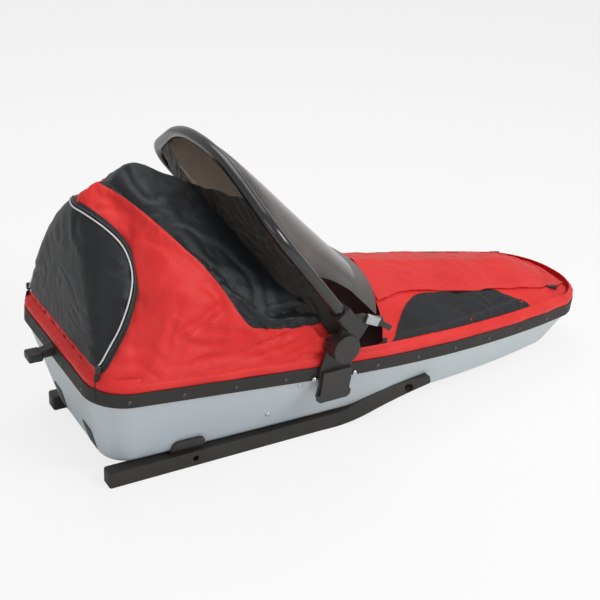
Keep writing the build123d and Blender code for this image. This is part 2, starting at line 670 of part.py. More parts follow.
# Child seat: cushion on the hull's floor and a leaning back cushion
seat_height = FLOOR_HEIGHT + HULL_WALL + SEAT_GAP
with BuildPart() as seat_cushion:
    with BuildSketch(Plane(origin=(at(CUSHION_REAR), 0, seat_height))):
        RectangleRounded(CUSHION_LENGTH, CUSHION_WIDTH, 30, align=(Align.MIN, Align.CENTER))
    extrude(amount=CUSHION_THICK)
    fillet(seat_cushion.faces().sort_by(Axis.Z)[-1].edges(), CUSHION_EDGE)
finish(seat_cushion.part, "seat_cushion")

lean = radians(BACK_LEAN)
back_plane = Plane(
    origin=(at(CUSHION_REAR) - SEAT_GAP * 2, 0, seat_height + BACK_THICK * sin(lean)),
    x_dir=(0, 1, 0),
    z_dir=(cos(lean), 0, sin(lean)),
)
with BuildPart() as back_cushion:
    with BuildSketch(back_plane):
        RectangleRounded(CUSHION_WIDTH, BACK_HEIGHT, BACK_ROUND, align=(Align.CENTER, Align.MIN))
    extrude(amount=-BACK_THICK)
    fillet(back_cushion.edges().filter_by(lambda edge: edge.length > BACK_ROUND).group_by(Axis.X)[-1], BACK_EDGE)
finish(back_cushion.part, "back_cushion")

# Harness: two shoulder belts, a crotch belt and the buckle that joins them
belt_low = BACK_HEIGHT * BELT_LOW_SHARE
belt_high = BACK_HEIGHT * BELT_HIGH_SHARE
with BuildPart() as harness:
    with BuildSketch(back_plane.offset(SEAT_GAP)):
        with BuildLine():
            half_belt = BELT_WIDTH / 2
            Line((half_belt / 2, belt_low), (BELT_SPACING / 2 - half_belt, belt_high))
            Line((BELT_SPACING / 2 - half_belt, belt_high), (BELT_SPACING / 2 + half_belt, belt_high))
            Line((BELT_SPACING / 2 + half_belt, belt_high), (half_belt * 2, belt_low))
            Line((half_belt * 2, belt_low), (half_belt / 2, belt_low))
        make_face()
        mirror(about=Plane.YZ)
        with Locations((0, belt_low - BUCKLE_SIZE / 3)):
            RectangleRounded(BUCKLE_SIZE * 1.5, BUCKLE_SIZE, 8)
    extrude(amount=BELT_THICK)
finish(harness.part, "harness")
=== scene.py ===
"""Looks of the child carrier pulk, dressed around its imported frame.

Metres. +X points to the bow, +Y to the left side, +Z up. Lengths along the sled are counted from
the stern rim, and at() brings them into the frame. The fabric body is laid on forms that follow
the sled's own cross-sections. It then buckles by simulation, is folded and gets its thickness.
"""

from __future__ import annotations

import logging
import math
from dataclasses import dataclass, field
from enum import Enum
from typing import Callable, Sequence

import bpy
from mathutils import Matrix, Vector, noise
from mathutils.bvhtree import BVHTree


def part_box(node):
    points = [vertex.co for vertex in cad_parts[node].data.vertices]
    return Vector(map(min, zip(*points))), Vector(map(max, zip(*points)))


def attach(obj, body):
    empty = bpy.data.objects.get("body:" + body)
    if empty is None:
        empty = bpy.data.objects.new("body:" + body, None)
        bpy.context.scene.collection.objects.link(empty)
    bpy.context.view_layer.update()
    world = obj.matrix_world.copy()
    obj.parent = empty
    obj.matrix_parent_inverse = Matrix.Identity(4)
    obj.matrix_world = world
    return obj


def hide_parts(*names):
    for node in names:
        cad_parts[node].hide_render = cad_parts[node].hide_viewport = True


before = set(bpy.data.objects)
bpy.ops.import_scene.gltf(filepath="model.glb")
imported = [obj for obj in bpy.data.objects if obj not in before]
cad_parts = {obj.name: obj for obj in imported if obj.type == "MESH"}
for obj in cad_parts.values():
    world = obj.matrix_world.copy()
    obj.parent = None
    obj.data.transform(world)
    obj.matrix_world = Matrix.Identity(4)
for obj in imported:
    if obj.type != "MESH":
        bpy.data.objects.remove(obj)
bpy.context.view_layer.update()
LOG = logging.getLogger("pulk")

Point2 = tuple[float, float]
Point3 = tuple[float, float, float]

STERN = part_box("rim_strip")[0][0]
SLED = "sled"
SCREEN = "windscreen"
SIDES = (("right", -1), ("left", 1))
RIM_HEIGHT = 0.2315         # lower edge of the rim strip over the snow, at the stern
RIM_FALL = 0.117
RIM_LENGTH = 1.4
STRIP_HEIGHT = 0.030
LEAN = math.atan2(RIM_FALL, RIM_LENGTH)
WAVE_WIDTH = 0.314159       # from line to line of the wave texture at scale 1
FREEDOM = 0.94              # how far unsewn cloth follows the simulation, of 1
CUT_SHARE = 0.35            # least share of its rectangle that a cut may fill


def at(from_stern: float) -> float:
    """X in the frame of a place counted from the stern rim."""
    return STERN + from_stern


def mix(a: float, b: float, share: float) -> float:
    """The value that lies a share of the way from a to b."""
    return a + (b - a) * share


def smooth(low: float, high: float, value: float) -> float:
    """Smooth step of a value from 0 at low to 1 at high."""
    share = min(1.0, max(0.0, (value - low) / (high - low)))
    return share * share * (3 - 2 * share)


def arc_through(a: Point2, b: Point2, c: Point2, steps: int) -> list[Point2]:
    """Points of the round arc from a over b to c.

    Args:
        a: First point.
        b: A point between.
        c: Last point.
        steps: How many spans the arc gets.

    Returns:
        The points, both ends among them.
    """
    (ax, ay), (bx, by), (cx, cy) = a, b, c
    twice = 2 * (ax * (by - cy) + bx * (cy - ay) + cx * (ay - by))
    aa, bb, cc = ax * ax + ay * ay, bx * bx + by * by, cx * cx + cy * cy
    ux = (aa * (by - cy) + bb * (cy - ay) + cc * (ay - by)) / twice
    uy = (aa * (cx - bx) + bb * (ax - cx) + cc * (bx - ax)) / twice
    radius = math.hypot(ax - ux, ay - uy)
    first = math.atan2(ay - uy, ax - ux)
    turn = (math.atan2(cy - uy, cx - ux) - first) % (2 * math.pi)
    middle = (math.atan2(by - uy, bx - ux) - first) % (2 * math.pi)
    if middle > turn:
        turn -= 2 * math.pi
    angles = [first + turn * step / steps for step in range(steps + 1)]
    return [(ux + radius * math.cos(angle), uy + radius * math.sin(angle)) for angle in angles]


class Track:
    """A plane line that is read by its length."""

    def __init__(self, points: Sequence[Point2]) -> None:
        """Keep the points and their lengths along the line."""
        self.points = list(points)
        self.reach = [0.0]
        for (ax, ay), (bx, by) in zip(self.points, self.points[1:]):
            self.reach.append(self.reach[-1] + math.hypot(bx - ax, by - ay))
        self.length = self.reach[-1]

    def span(self, distance: float) -> tuple[int, float]:
        """The span that a distance falls in, and the share of it."""
        distance = min(max(distance, 0.0), self.length)
        low, high = 0, len(self.reach) - 1
        while high - low > 1:
            middle = (low + high) // 2
            if self.reach[middle] <= distance:
                low = middle
            else:
                high = middle
        long = self.reach[high] - self.reach[low]
        return low, (distance - self.reach[low]) / long if long else 0.0

    def place(self, distance: float) -> Point2:
        """The point at a distance along the line."""
        index, share = self.span(distance)
        (ax, ay), (bx, by) = self.points[index], self.points[index + 1]
        return mix(ax, bx, share), mix(ay, by, share)

    def nearest(self, point: Point2) -> float:
        """Distance along the line of its place nearest to a point."""
        least, found = math.inf, 0.0
        for index, ((ax, ay), (bx, by)) in enumerate(zip(self.points, self.points[1:])):
            long = self.reach[index + 1] - self.reach[index]
            if not long:
                continue
            share = ((point[0] - ax) * (bx - ax) + (point[1] - ay) * (by - ay)) / long**2
            share = min(1.0, max(0.0, share))
            gap = math.hypot(point[0] - mix(ax, bx, share), point[1] - mix(ay, by, share))
            if gap < least:
                least, found = gap, self.reach[index] + share * long
        return found

    def way(self, distance: float) -> Point2:
        """The line's direction at a distance, smoothed over 4 mm."""
        (ax, ay), (bx, by) = self.place(distance - 0.002), self.place(distance + 0.002)
        long = math.hypot(bx - ax, by - ay) or 1.0
        return (bx - ax) / long, (by - ay) / long


def curve_through(points: Sequence[Point2], steps: int = 12) -> list[Point2]:
    """A smooth line through a few points.

    Args:
        points: The points that the line passes.
        steps: Spans between two of them.

    Returns:
        The line's points.
    """
    padded = [points[0], *points, points[-1]]
    line: list[Point2] = []
    for first, a, b, last in zip(padded, padded[1:], padded[2:], padded[3:]):
        for step in range(steps):
            line.append(tuple(hermite(first[k], a[k], b[k], last[k], step / steps) for k in (0, 1)))
    return [*line, tuple(points[-1])]


def hermite(first: float, a: float, b: float, last: float, share: float) -> float:
    """The value between a and b on a smooth line over four even steps."""
    square, cube = share * share, share**3
    return 0.5 * (
        2 * a + (b - first) * share + (2 * first - 5 * a + 4 * b - last) * square
        + (3 * a - first - 3 * b + last) * cube
    )


def between(rows: Sequence[Sequence[float]], share: float) -> list[float]:
    """Smoothly read a table's row at a share of the way through its rows."""
    place = share * (len(rows) - 1)
    index = min(int(place), len(rows) - 2)
    a, b = rows[index], rows[index + 1]
    first = rows[index - 1] if index else [2 * p - q for p, q in zip(a, b)]
    last = rows[index + 2] if index + 2 < len(rows) else [2 * q - p for p, q in zip(a, b)]
    return [hermite(*values, place - index) for values in zip(first, a, b, last)]


# Materials


def srgb(code: str, alpha: float = 1.0) -> tuple[float, float, float, float]:
    """Linear colour of an sRGB hex code.

    Args:
        code: Six hex digits, with or without a mark before them.
        alpha: How opaque it is.

    Returns:
        Red, green, blue and alpha.
    """
    parts = [int(code.lstrip("#")[k:k + 2], 16) / 255 for k in (0, 2, 4)]
    linear = [part / 12.92 if part <= 0.04045 else ((part + 0.055) / 1.055) ** 2.4 for part in parts]
    return linear[0], linear[1], linear[2], alpha


def add_node(tree: bpy.types.NodeTree, kind: str, settings: dict | None = None,
             links: dict | None = None) -> bpy.types.Node:
    """Add one shader node.

    Args:
        tree: The material's or world's nodes.
        kind: The node's type without its ShaderNode prefix.
        settings: Values of its properties, or of its sockets by name or number.
        links: Sockets of other nodes that feed its own, by name or number.

    Returns:
        The new node.
    """
    node = tree.nodes.new("ShaderNode" + kind)
    for key, value in (settings or {}).items():
        if isinstance(key, str) and hasattr(node, key):
            setattr(node, key, value)
        else:
            node.inputs[key].default_value = value
    for key, source in (links or {}).items():
        tree.links.new(source, node.inputs[key])
    return node


@dataclass(frozen=True)
class Finish:
    """What one real material looks like."""

    name: str
    colour: str
    other: str
    roughness: float

    def start(self) -> tuple[bpy.types.Material, bpy.types.NodeTree, bpy.types.Node]:
        """A new material with its nodes cleared and the place on the surface."""
        material = bpy.data.materials.new(self.name)
        material.use_nodes = True
        tree = material.node_tree
        tree.nodes.clear()
        return material, tree, add_node(tree, "TexCoord")

    def ripple(self, tree: bpy.types.NodeTree, place: bpy.types.NodeSocket, spacing: float,
               detail: float = 3.0) -> bpy.types.Node:
        """Noise whose lumps are about a spacing wide.

        Args:
            tree: The material's nodes.
            place: The place on the surface.
            spacing: Width of a lump in metres.
            detail: How many finer layers it has.

        Returns:
            The noise node.
        """
        return add_node(tree, "TexNoise", {"Scale": 1 / spacing, "Detail": detail}, {"Vector": place})

    def tint(self, tree: bpy.types.NodeTree, share: bpy.types.NodeSocket, low: float = 0.35,
             high: float = 0.65) -> bpy.types.Node:
        """The finish's colour with its other shade worked in.

        Args:
            tree: The material's nodes.
            share: Pattern that says where the other shade lies.
            low: Pattern value of the plain colour.
            high: Pattern value of the other shade.

        Returns:
            The colour ramp node.
        """
        ramp = add_node(tree, "ValToRGB", None, {"Fac": share})
        ramp.color_ramp.elements[0].position = low
        ramp.color_ramp.elements[0].color = srgb(self.colour)
        ramp.color_ramp.elements[1].position = high
        ramp.color_ramp.elements[1].color = srgb(self.other)
        return ramp

    def spread(self, tree: bpy.types.NodeTree, share: bpy.types.NodeSocket,
               by: float) -> bpy.types.NodeSocket:
        """Roughness that varies by a little around the finish's own."""
        band = add_node(
            tree, "MapRange",
            {"To Min": self.roughness - by, "To Max": self.roughness + by}, {"Value": share})
        return band.outputs["Result"]

    def close(self, tree: bpy.types.NodeTree, shader: bpy.types.Node) -> None:
        """Lead the shader to the surface."""
        add_node(tree, "OutputMaterial", None, {"Surface": shader.outputs[0]})


@dataclass(frozen=True)
class MouldedPlastic(Finish):
    """Moulded plastic: an even colour, a fine grained skin and a soft gloss."""

    grain: float = 0.0012
    depth: float = 0.0002
    coat: float = 0.0
    metallic: float = 0.0

    def build(self) -> bpy.types.Material:
        """Make the material."""
        material, tree, where = self.start()
        place = where.outputs["Object"]
        clouds = self.ripple(tree, place, 0.09, 4.0)
        skin = self.ripple(tree, place, self.grain, 2.0)
        bump = add_node(
            tree, "Bump", {"Strength": 0.35, "Distance": self.depth}, {"Height": skin.outputs["Fac"]})
        shader = add_node(
            tree, "BsdfPrincipled",
            {"Coat Weight": self.coat, "Coat Roughness": 0.12, "Metallic": self.metallic},
            {
                "Base Color": self.tint(tree, clouds.outputs["Fac"]).outputs["Color"],
                "Roughness": self.spread(tree, clouds.outputs["Fac"], 0.06),
                "Normal": bump.outputs["Normal"],
            })
        self.close(tree, shader)
        return material


@dataclass(frozen=True)
class TubSkin(Finish):
    """Thermoformed polyethylene: milky, softly wavy, with pale scuffs along the sole."""

    scuff: str = "#DDE2E3"

    def build(self) -> bpy.types.Material:
        """Make the material."""
        material, tree, where = self.start()
        place = where.outputs["Object"]
        clouds = self.ripple(tree, place, 0.35, 2.0)
        waves = self.ripple(tree, place, 0.16, 1.0)
        skin = self.ripple(tree, place, 0.004, 2.0)
        along = add_node(tree, "Mapping", {"Scale": (3.0, 60.0, 60.0)}, {"Vector": place})
        streaks = add_node(tree, "TexNoise", {"Scale": 9.0, "Detail": 5.0}, {"Vector": along.outputs[0]})
        height = add_node(tree, "SeparateXYZ", None, {"Vector": place})
        low = add_node(
            tree, "MapRange", {"From Min": 0.10, "From Max": 0.04, "To Min": 0.0, "To Max": 0.5},
            {"Value": height.outputs["Z"]})
        worn = add_node(
            tree, "MapRange", {"From Min": 0.55, "From Max": 0.75}, {"Value": streaks.outputs["Fac"]})
        share = add_node(
            tree, "Math", {"operation": "MULTIPLY"}, {0: low.outputs["Result"], 1: worn.outputs["Result"]})
        colour = add_node(
            tree, "Mix", {"data_type": "RGBA", 7: srgb(self.scuff)},
            {0: share.outputs[0], 6: self.tint(tree, clouds.outputs["Fac"]).outputs["Color"]})
        dents = add_node(
            tree, "Bump", {"Strength": 0.5, "Distance": 0.003}, {"Height": waves.outputs["Fac"]})
        bump = add_node(
            tree, "Bump", {"Strength": 0.25, "Distance": 0.0003},
            {"Height": skin.outputs["Fac"], "Normal": dents.outputs["Normal"]})
        shader = add_node(
            tree, "BsdfPrincipled", {"Subsurface Weight": 0.08, "Subsurface Scale": 0.01},
            {
                "Base Color": colour.outputs[2],
                "Roughness": self.spread(tree, clouds.outputs["Fac"], 0.07),
                "Normal": bump.outputs["Normal"],
            })
        self.close(tree, shader)
        return material


@dataclass(frozen=True)
class CoatedCloth(Finish):
    """Coated woven cloth: thread lines, small creases that catch the light, a thin sheen.

    The red cloth's ripstop squares are 5 mm wide. Real threads lie under 0.3 mm apart and are drawn
    1.1 to 1.5 mm apart, as fine as they still show.
    """

    square: float = 0.005
    thread: float = 0.0012
    line: float = 0.25
    crease: float = 0.0022
    sheen: float = 0.15

    def lines(self, tree: bpy.types.NodeTree, place: bpy.types.NodeSocket,
              spacing: float) -> bpy.types.NodeSocket:
        """Crossing lines at one spacing.

        Args:
            tree: The material's nodes.
            place: Places in metres along the cloth.
            spacing: From one line to the next.

        Returns:
            The pattern, 1 on a line.
        """
        bands = [
            add_node(
                tree, "TexWave",
                {"bands_direction": way, "Scale": WAVE_WIDTH / spacing, "wave_profile": "SIN"},
                {"Vector": place})
            for way in ("X", "Y")
        ]
        sharp = [
            add_node(tree, "MapRange", {"From Min": 0.7, "From Max": 1.0}, {"Value": band.outputs["Fac"]})
            for band in bands
        ]
        both = add_node(
            tree, "Math", {"operation": "MAXIMUM"},
            {0: sharp[0].outputs["Result"], 1: sharp[1].outputs["Result"]})
        return both.outputs[0]

    def build(self) -> bpy.types.Material:
        """Make the material."""
        material, tree, where = self.start()
        place, cloth = where.outputs["Object"], where.outputs["UV"]
        clouds = self.ripple(tree, place, 0.12, 3.0)
        wrinkles = self.ripple(tree, place, 0.035, 4.0)
        squares = self.lines(tree, cloth, self.square)
        threads = self.lines(tree, cloth, self.thread)
        weave = add_node(
            tree, "Math", {"operation": "MULTIPLY_ADD", 1: 0.6}, {0: squares, 2: threads})
        lit = add_node(
            tree, "Math", {"operation": "MULTIPLY_ADD", 1: self.line},
            {0: squares, 2: clouds.outputs["Fac"]})
        folds = add_node(
            tree, "Bump", {"Strength": 0.5, "Distance": self.crease}, {"Height": wrinkles.outputs["Fac"]})
        bump = add_node(
            tree, "Bump", {"Strength": 0.3, "Distance": 0.0002},
            {"Height": weave.outputs[0], "Normal": folds.outputs["Normal"]})
        shader = add_node(
            tree, "BsdfPrincipled",
            {"Sheen Weight": self.sheen, "Sheen Roughness": 0.4, "Specular IOR Level": 0.35},
            {
                "Base Color": self.tint(tree, lit.outputs[0], 0.3, 0.85).outputs["Color"],
                "Roughness": self.spread(tree, clouds.outputs["Fac"], 0.08),
                "Normal": bump.outputs["Normal"],
            })
        self.close(tree, shader)
        return material


@dataclass(frozen=True)
class SmokySheet(Finish):
    """Smoky polycarbonate: light passes brown-grey, the skin is glossy with a few scratches."""

    def build(self) -> bpy.types.Material:
        """Make the material."""
        material, tree, where = self.start()
        place = where.outputs["Object"]
        haze = self.ripple(tree, place, 0.05, 5.0)
        shader = add_node(
            tree, "BsdfPrincipled", {"Transmission Weight": 0.86, "IOR": 1.5},
            {
                "Base Color": self.tint(tree, haze.outputs["Fac"]).outputs["Color"],
                "Roughness": self.spread(tree, haze.outputs["Fac"], 0.04),
            })
        self.close(tree, shader)
        return material


# Pale, milky blue-grey sheet with a soft gloss
HULL_SKIN = TubSkin("thermoformed_polyethylene", "#BFC9D1", "#C9D1D5", 0.36)
# Dark and matt, with a fine bloom
EDGE_RUBBER = MouldedPlastic(
    "extruded_rubber_edge", "#211F1D", "#292624", 0.58, grain=0.0015, depth=0.0003)
# Waxy black with a faint orange peel
RUNNER_PLASTIC = MouldedPlastic(
    "moulded_polyethylene_runner", "#2C2A28", "#353331", 0.46, grain=0.0018, depth=0.0004)
# Black with the fine grain of an eroded tool
NYLON = MouldedPlastic("moulded_black_nylon", "#2A2928", "#333130", 0.42, grain=0.0010, depth=0.0002)
# Rolled sheet, satin under a thin clear gloss
STRIP_PLASTIC = MouldedPlastic(
    "satin_black_sheet", "#302E2A", "#393632", 0.34, grain=0.0012, depth=0.0001, coat=0.15)
# Deep black under a glossy skin
TUBE_COATING = MouldedPlastic(
    "gloss_powder_coat", "#141313", "#1A1919", 0.24, grain=0.0020, depth=0.0001, coat=0.6)
# Bright plated metal, almost a mirror
CHROME = MouldedPlastic(
    "chromed_steel", "#D5D7DA", "#BFC2C6", 0.16, grain=0.0010, depth=0.00003, metallic=1.0)
# Dull dark metal
RIVET_STEEL = MouldedPlastic(
    "blackened_rivet_steel", "#5A5753", "#6A6662", 0.40, grain=0.0008, depth=0.00005, metallic=0.8)
# Pale metal with a soft, broad gleam
CAST_METAL = MouldedPlastic(
    "bead_blasted_aluminium", "#C9CBCC", "#AEB1B3", 0.34, grain=0.0006, depth=0.0001, metallic=1.0)
# Bright red with a grid of squares and soft lights on its creases
RED_CLOTH = CoatedCloth(
    "red_ripstop_cloth", "#DC1C18", "#EE3A37", 0.50,
    square=0.0050, thread=0.0012, line=0.25, crease=0.0036, sheen=0.06)
# Blue-black and smooth, with sharper lights on its creases
BLACK_CLOTH = CoatedCloth(
    "black_coated_cloth", "#121517", "#1F2427", 0.44,
    square=0.0030, thread=0.0011, line=0.10, crease=0.0040, sheen=0.08)
# Brown-black and dull
LINING = CoatedCloth(
    "dark_lining_cloth", "#1D1917", "#2B2522", 0.62,
    square=0.0030, thread=0.0011, line=0.08, crease=0.0030, sheen=0.20)
# Dark grey with a coarse, dry weave
SEAT_CLOTH = CoatedCloth(
    "padded_seat_cloth", "#2A2C2F", "#373A3E", 0.80,
    square=0.0040, thread=0.0014, line=0.15, crease=0.0012, sheen=0.35)
# Tight ribbed weave with a faint shine
BELT = CoatedCloth(
    "woven_belt", "#1B1B1C", "#2A2A2C", 0.62,
    square=0.0030, thread=0.0015, line=0.35, crease=0.0002, sheen=0.20)
# Silver-white and smooth
PIPING = MouldedPlastic("reflective_piping", "#E9EBEE", "#D6D9DD", 0.35, grain=0.0010, depth=0.0001)
# Clear brown-grey with a glossy skin
SMOKY = SmokySheet("smoky_polycarbonate", "#6E6259", "#675C53", 0.12)

MATERIALS: dict[str, bpy.types.Material] = {}


def dress(obj: bpy.types.Object, finish: Finish) -> None:
    """Give a piece one finish all over."""
    if finish.name not in MATERIALS:
        MATERIALS[finish.name] = finish.build()
    obj.data.materials.clear()
    obj.data.materials.append(MATERIALS[finish.name])


# Modelling helpers


def choose(*objects: bpy.types.Object) -> None:
    """Select only these objects, the first one active."""
    for other in bpy.context.selected_objects:
        other.select_set(False)
    for obj in objects:
        obj.select_set(True)
    if objects:
        bpy.context.view_layer.objects.active = objects[0]


def laid_grid(name: str, columns: int, rows: int,
              place: Callable[[float, float], Vector]) -> bpy.types.Object:
    """A cloth grid whose points are laid on a form, with a UV map in metres along the cloth.

    Args:
        name: The piece's name.
        columns: Spans across.
        rows: Spans along.
        place: Gives the point at two shares, across and along.

    Returns:
        The new object.
    """
    choose()
    bpy.ops.mesh.primitive_grid_add(x_subdivisions=columns, y_subdivisions=rows, size=2)
    obj = bpy.context.object
    obj.name = name
    for vertex in obj.data.vertices:
        vertex.co = place((vertex.co.x + 1) / 2, (vertex.co.y + 1) / 2)
    measure_cloth(obj.data, columns, rows)
    return obj


def measure_cloth(mesh: bpy.types.Mesh, columns: int, rows: int) -> None:
    """Set a laid grid's UV map to metres, measured along its own rows and columns.

    Args:
        mesh: The grid, as it was laid.
        columns: Spans across.
        rows: Spans along.
    """
    width = columns + 1
    points = [vertex.co for vertex in mesh.vertices]
    across = [0.0] * len(points)
    along = [0.0] * len(points)
    for row in range(rows + 1):
        for column in range(1, width):
            index = row * width + column
            across[index] = across[index - 1] + (points[index] - points[index - 1]).length
        middle = across[row * width + columns // 2]
        for column in range(width):
            across[row * width + column] -= middle
    for index in range(width, len(points)):
        along[index] = along[index - width] + (points[index] - points[index - width]).length
    layer = mesh.uv_layers[0].data
    for loop in mesh.loops:
        layer[loop.index].uv = (across[loop.vertex_index], along[loop.vertex_index])


def apply(obj: bpy.types.Object, kind: str, **settings: object) -> None:
    """Add a modifier with its settings and apply it."""
    choose(obj)
    modifier = obj.modifiers.new(kind.lower(), kind)
    for key, value in settings.items():
        setattr(modifier, key, value)
    bpy.ops.object.modifier_apply(modifier=modifier.name)


def thicken(obj: bpy.types.Object, thick: float, offset: float = -1.0) -> None:
    """Turn a sheet outwards and give it its thickness."""
    choose(obj)
    bpy.ops.object.mode_set(mode="EDIT")
    bpy.ops.mesh.select_all(action="SELECT")
    bpy.ops.mesh.normals_make_consistent(inside=False)
    bpy.ops.object.mode_set(mode="OBJECT")
    apply(obj, "SOLIDIFY", thickness=thick, offset=offset, use_even_offset=False)


def soften(obj: bpy.types.Object, angle: float = 40.0) -> None:
    """Shade a piece smooth up to an angle in degrees."""
    choose(obj)
    bpy.ops.object.shade_smooth_by_angle(angle=math.radians(angle))


def settle(obj: bpy.types.Object, finish: Finish, body: str, slot: str, *replaced: str) -> None:
    """Dress a finished piece and tie it to the frame.

    Args:
        obj: The piece.
        finish: Its finish.
        body: The body that it moves with.
        slot: Name of a material slot. Not used.
        replaced: Nodes that it stands for.
    """
    choose(obj)
    bpy.ops.object.transform_apply(location=True, rotation=True, scale=True)
    dress(obj, finish)
    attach(obj, body)
    if replaced:
        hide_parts(*replaced)
    LOG.info("%s: %d faces", obj.name, len(obj.data.polygons))


def sew(obj: bpy.types.Object, thick: float, finish: Finish, slot: str, *replaced: str) -> None:
    """Give a laid sheet its thickness, dress it and tie it to the sled.

    Args:
        obj: The sheet.
        thick: Its thickness.
        finish: Its finish.
        slot: Name of a material slot. Not used.
        replaced: Nodes that it stands for.
    """
    thicken(obj, thick)
    soften(obj, 50)
    settle(obj, finish, SLED, slot, *replaced)


def tube(name: str, points: Sequence[Vector], radius: float) -> bpy.types.Object:
    """A round sewn-in piping or bead along a line.

    Args:
        name: The piece's name.
        points: The line.
        radius: Half its thickness.

    Returns:
        The mesh object.
    """
    curve = bpy.data.curves.new(name, "CURVE")
    curve.dimensions = "3D"
    curve.bevel_depth = radius
    curve.bevel_resolution = 2
    curve.use_fill_caps = True
    spline = curve.splines.new("POLY")
    spline.points.add(len(points) - 1)
    for target, point in zip(spline.points, points):
        target.co = (*point, 1.0)
    obj = bpy.data.objects.new(name, curve)
    bpy.context.collection.objects.link(obj)
    choose(obj)
    bpy.ops.object.convert(target="MESH")
    obj = bpy.context.object
    obj.name = name
    soften(obj, 60)
    return obj


def joined(name: str, pieces: Sequence[bpy.types.Object]) -> bpy.types.Object:
    """Join like pieces into one mesh with its place in its points."""
    choose(*pieces)
    bpy.ops.object.transform_apply(location=True, rotation=True, scale=True)
    if len(pieces) > 1:
        bpy.ops.object.join()
    obj = bpy.context.object
    obj.name = name
    return obj


def rounded_block(size: Point3, middle: Vector, radius: float, turn: float = 0.0) -> bpy.types.Object:
    """A small moulded block with its edges rounded.

    Args:
        size: Length, width and height.
        middle: Its middle.
        radius: Radius of its edges.
        turn: Turn round the sled's cross direction in radians.

    Returns:
        The mesh object with its place in its points.
    """
    choose()
    bpy.ops.mesh.primitive_cube_add(size=1)
    block = bpy.context.object
    turning = Matrix.Rotation(turn, 4, "Y")
    for vertex in block.data.vertices:
        place = Vector((vertex.co.x * size[0], vertex.co.y * size[1], vertex.co.z * size[2]))
        vertex.co = turning @ place + middle
    apply(block, "BEVEL", width=radius, segments=3, limit_method="NONE")
    soften(block, 50)
    return block


def strap(name: str, points: Sequence[Vector], width: float, thick: float,
          facing: Vector) -> bpy.types.Object:
    """A flat strap along a line.

    Args:
        name: The piece's name.
        points: Its middle line.
        width: Its width.
        thick: Its thickness.
        facing: Direction that its flat side faces.

    Returns:
        The mesh object.
    """
    count = len(points) - 1
    facing = facing.normalized()

    def place(across: float, along: float) -> Vector:
        """The strap's point at two shares."""
        share = along * count
        index = min(int(share), count - 1)
        middle = points[index].lerp(points[index + 1], share - index)
        way = (points[min(index + 1, count)] - points[index]).normalized()
        return middle + way.cross(facing).normalized() * width * (across - 0.5)

    band = laid_grid(name, 4, count * 4, place)
    thicken(band, thick, 0.0)
    apply(band, "BEVEL", width=thick * 0.3, segments=2, limit_method="ANGLE",
          angle_limit=math.radians(60))
    soften(band, 50)
    return band


def surface_tree(obj: bpy.types.Object) -> BVHTree:
    """Search tree over a mesh, to lay other pieces on it."""
    points = [vertex.co.copy() for vertex in obj.data.vertices]
    faces = [tuple(face.vertices) for face in obj.data.polygons]
    return BVHTree.FromPolygons(points, faces)


@dataclass(frozen=True)
class Fold:
    """One long fold of the cloth: a ridge that ends softly, with a shallow valley beside it."""

    line: tuple[Point3, ...]
    height: float
    width: float

    def lift(self, point: Vector) -> float:
        """How far the fold lifts a point of the cloth."""
        best, share = 1.0, 0.0
        spans = len(self.line) - 1
        for index in range(spans):
            a, b = Vector(self.line[index]), Vector(self.line[index + 1])
            along = b - a
            part = min(1.0, max(0.0, (point - a).dot(along) / along.length_squared))
            away = (point - a - along * part).length
            if away < best:
                best, share = away, (index + part) / spans
        taper = math.sin(math.pi * min(1.0, max(0.0, share * 0.92 + 0.04))) ** 0.6
        near = best / self.width
        return self.height * taper * (math.exp(-near * near) - 0.45 * math.exp(-((near - 1.7) ** 2) * 1.5))


def fold_cloth(obj: bpy.types.Object, folds: Sequence[Fold], keep: Callable[[Vector], float],
               crumple: float, size: float) -> None:
    """Press folds and small creases into a sheet along its normals.

    Args:
        obj: The sheet, still without its thickness.
        folds: The long folds.
        keep: Gives 0 where the sheet is held still and 1 where it is free.
        crumple: Height of the small creases.
        size: Distance from one small crease to the next.
    """
    mesh = obj.data
    band = 0.28         # noise values up to this far from 0 make a crease's ridge
    normals = [vertex.normal.copy() for vertex in mesh.vertices]
    for vertex, normal in zip(mesh.vertices, normals):
        free = keep(vertex.co)
        if free <= 0:
            continue
        lift = sum(fold.lift(vertex.co) for fold in folds)
        bend = noise.noise(vertex.co / (size * 2.5)) * 1.4
        place = Vector((vertex.co.x + vertex.co.z * 0.6, vertex.co.y, vertex.co.z - vertex.co.x * 0.3))
        crease = noise.noise(place / size + Vector((bend, bend, bend)))
        ridge = (band - abs(crease)) / band
        vertex.co += normal * free * (lift + crumple * max(-0.6, ridge))


def everywhere(_: Vector) -> float:
    """A sheet that is free at every point."""
    return 1.0


@dataclass(frozen=True)
class Slack:
    """How slack cloth is simulated."""

    growth: float       # share that the cloth is larger than its form
    pressure: float     # push from inside
    weight: float       # share of gravity that it feels
    frames: int
    cap: float          # furthest that a point may move


HUNG_CLOTH = Slack(growth=0.030, pressure=0.1, weight=0.5, frames=14, cap=0.006)
FILLED_PAD = Slack(growth=0.02, pressure=4.0, weight=0.0, frames=20, cap=0.010)


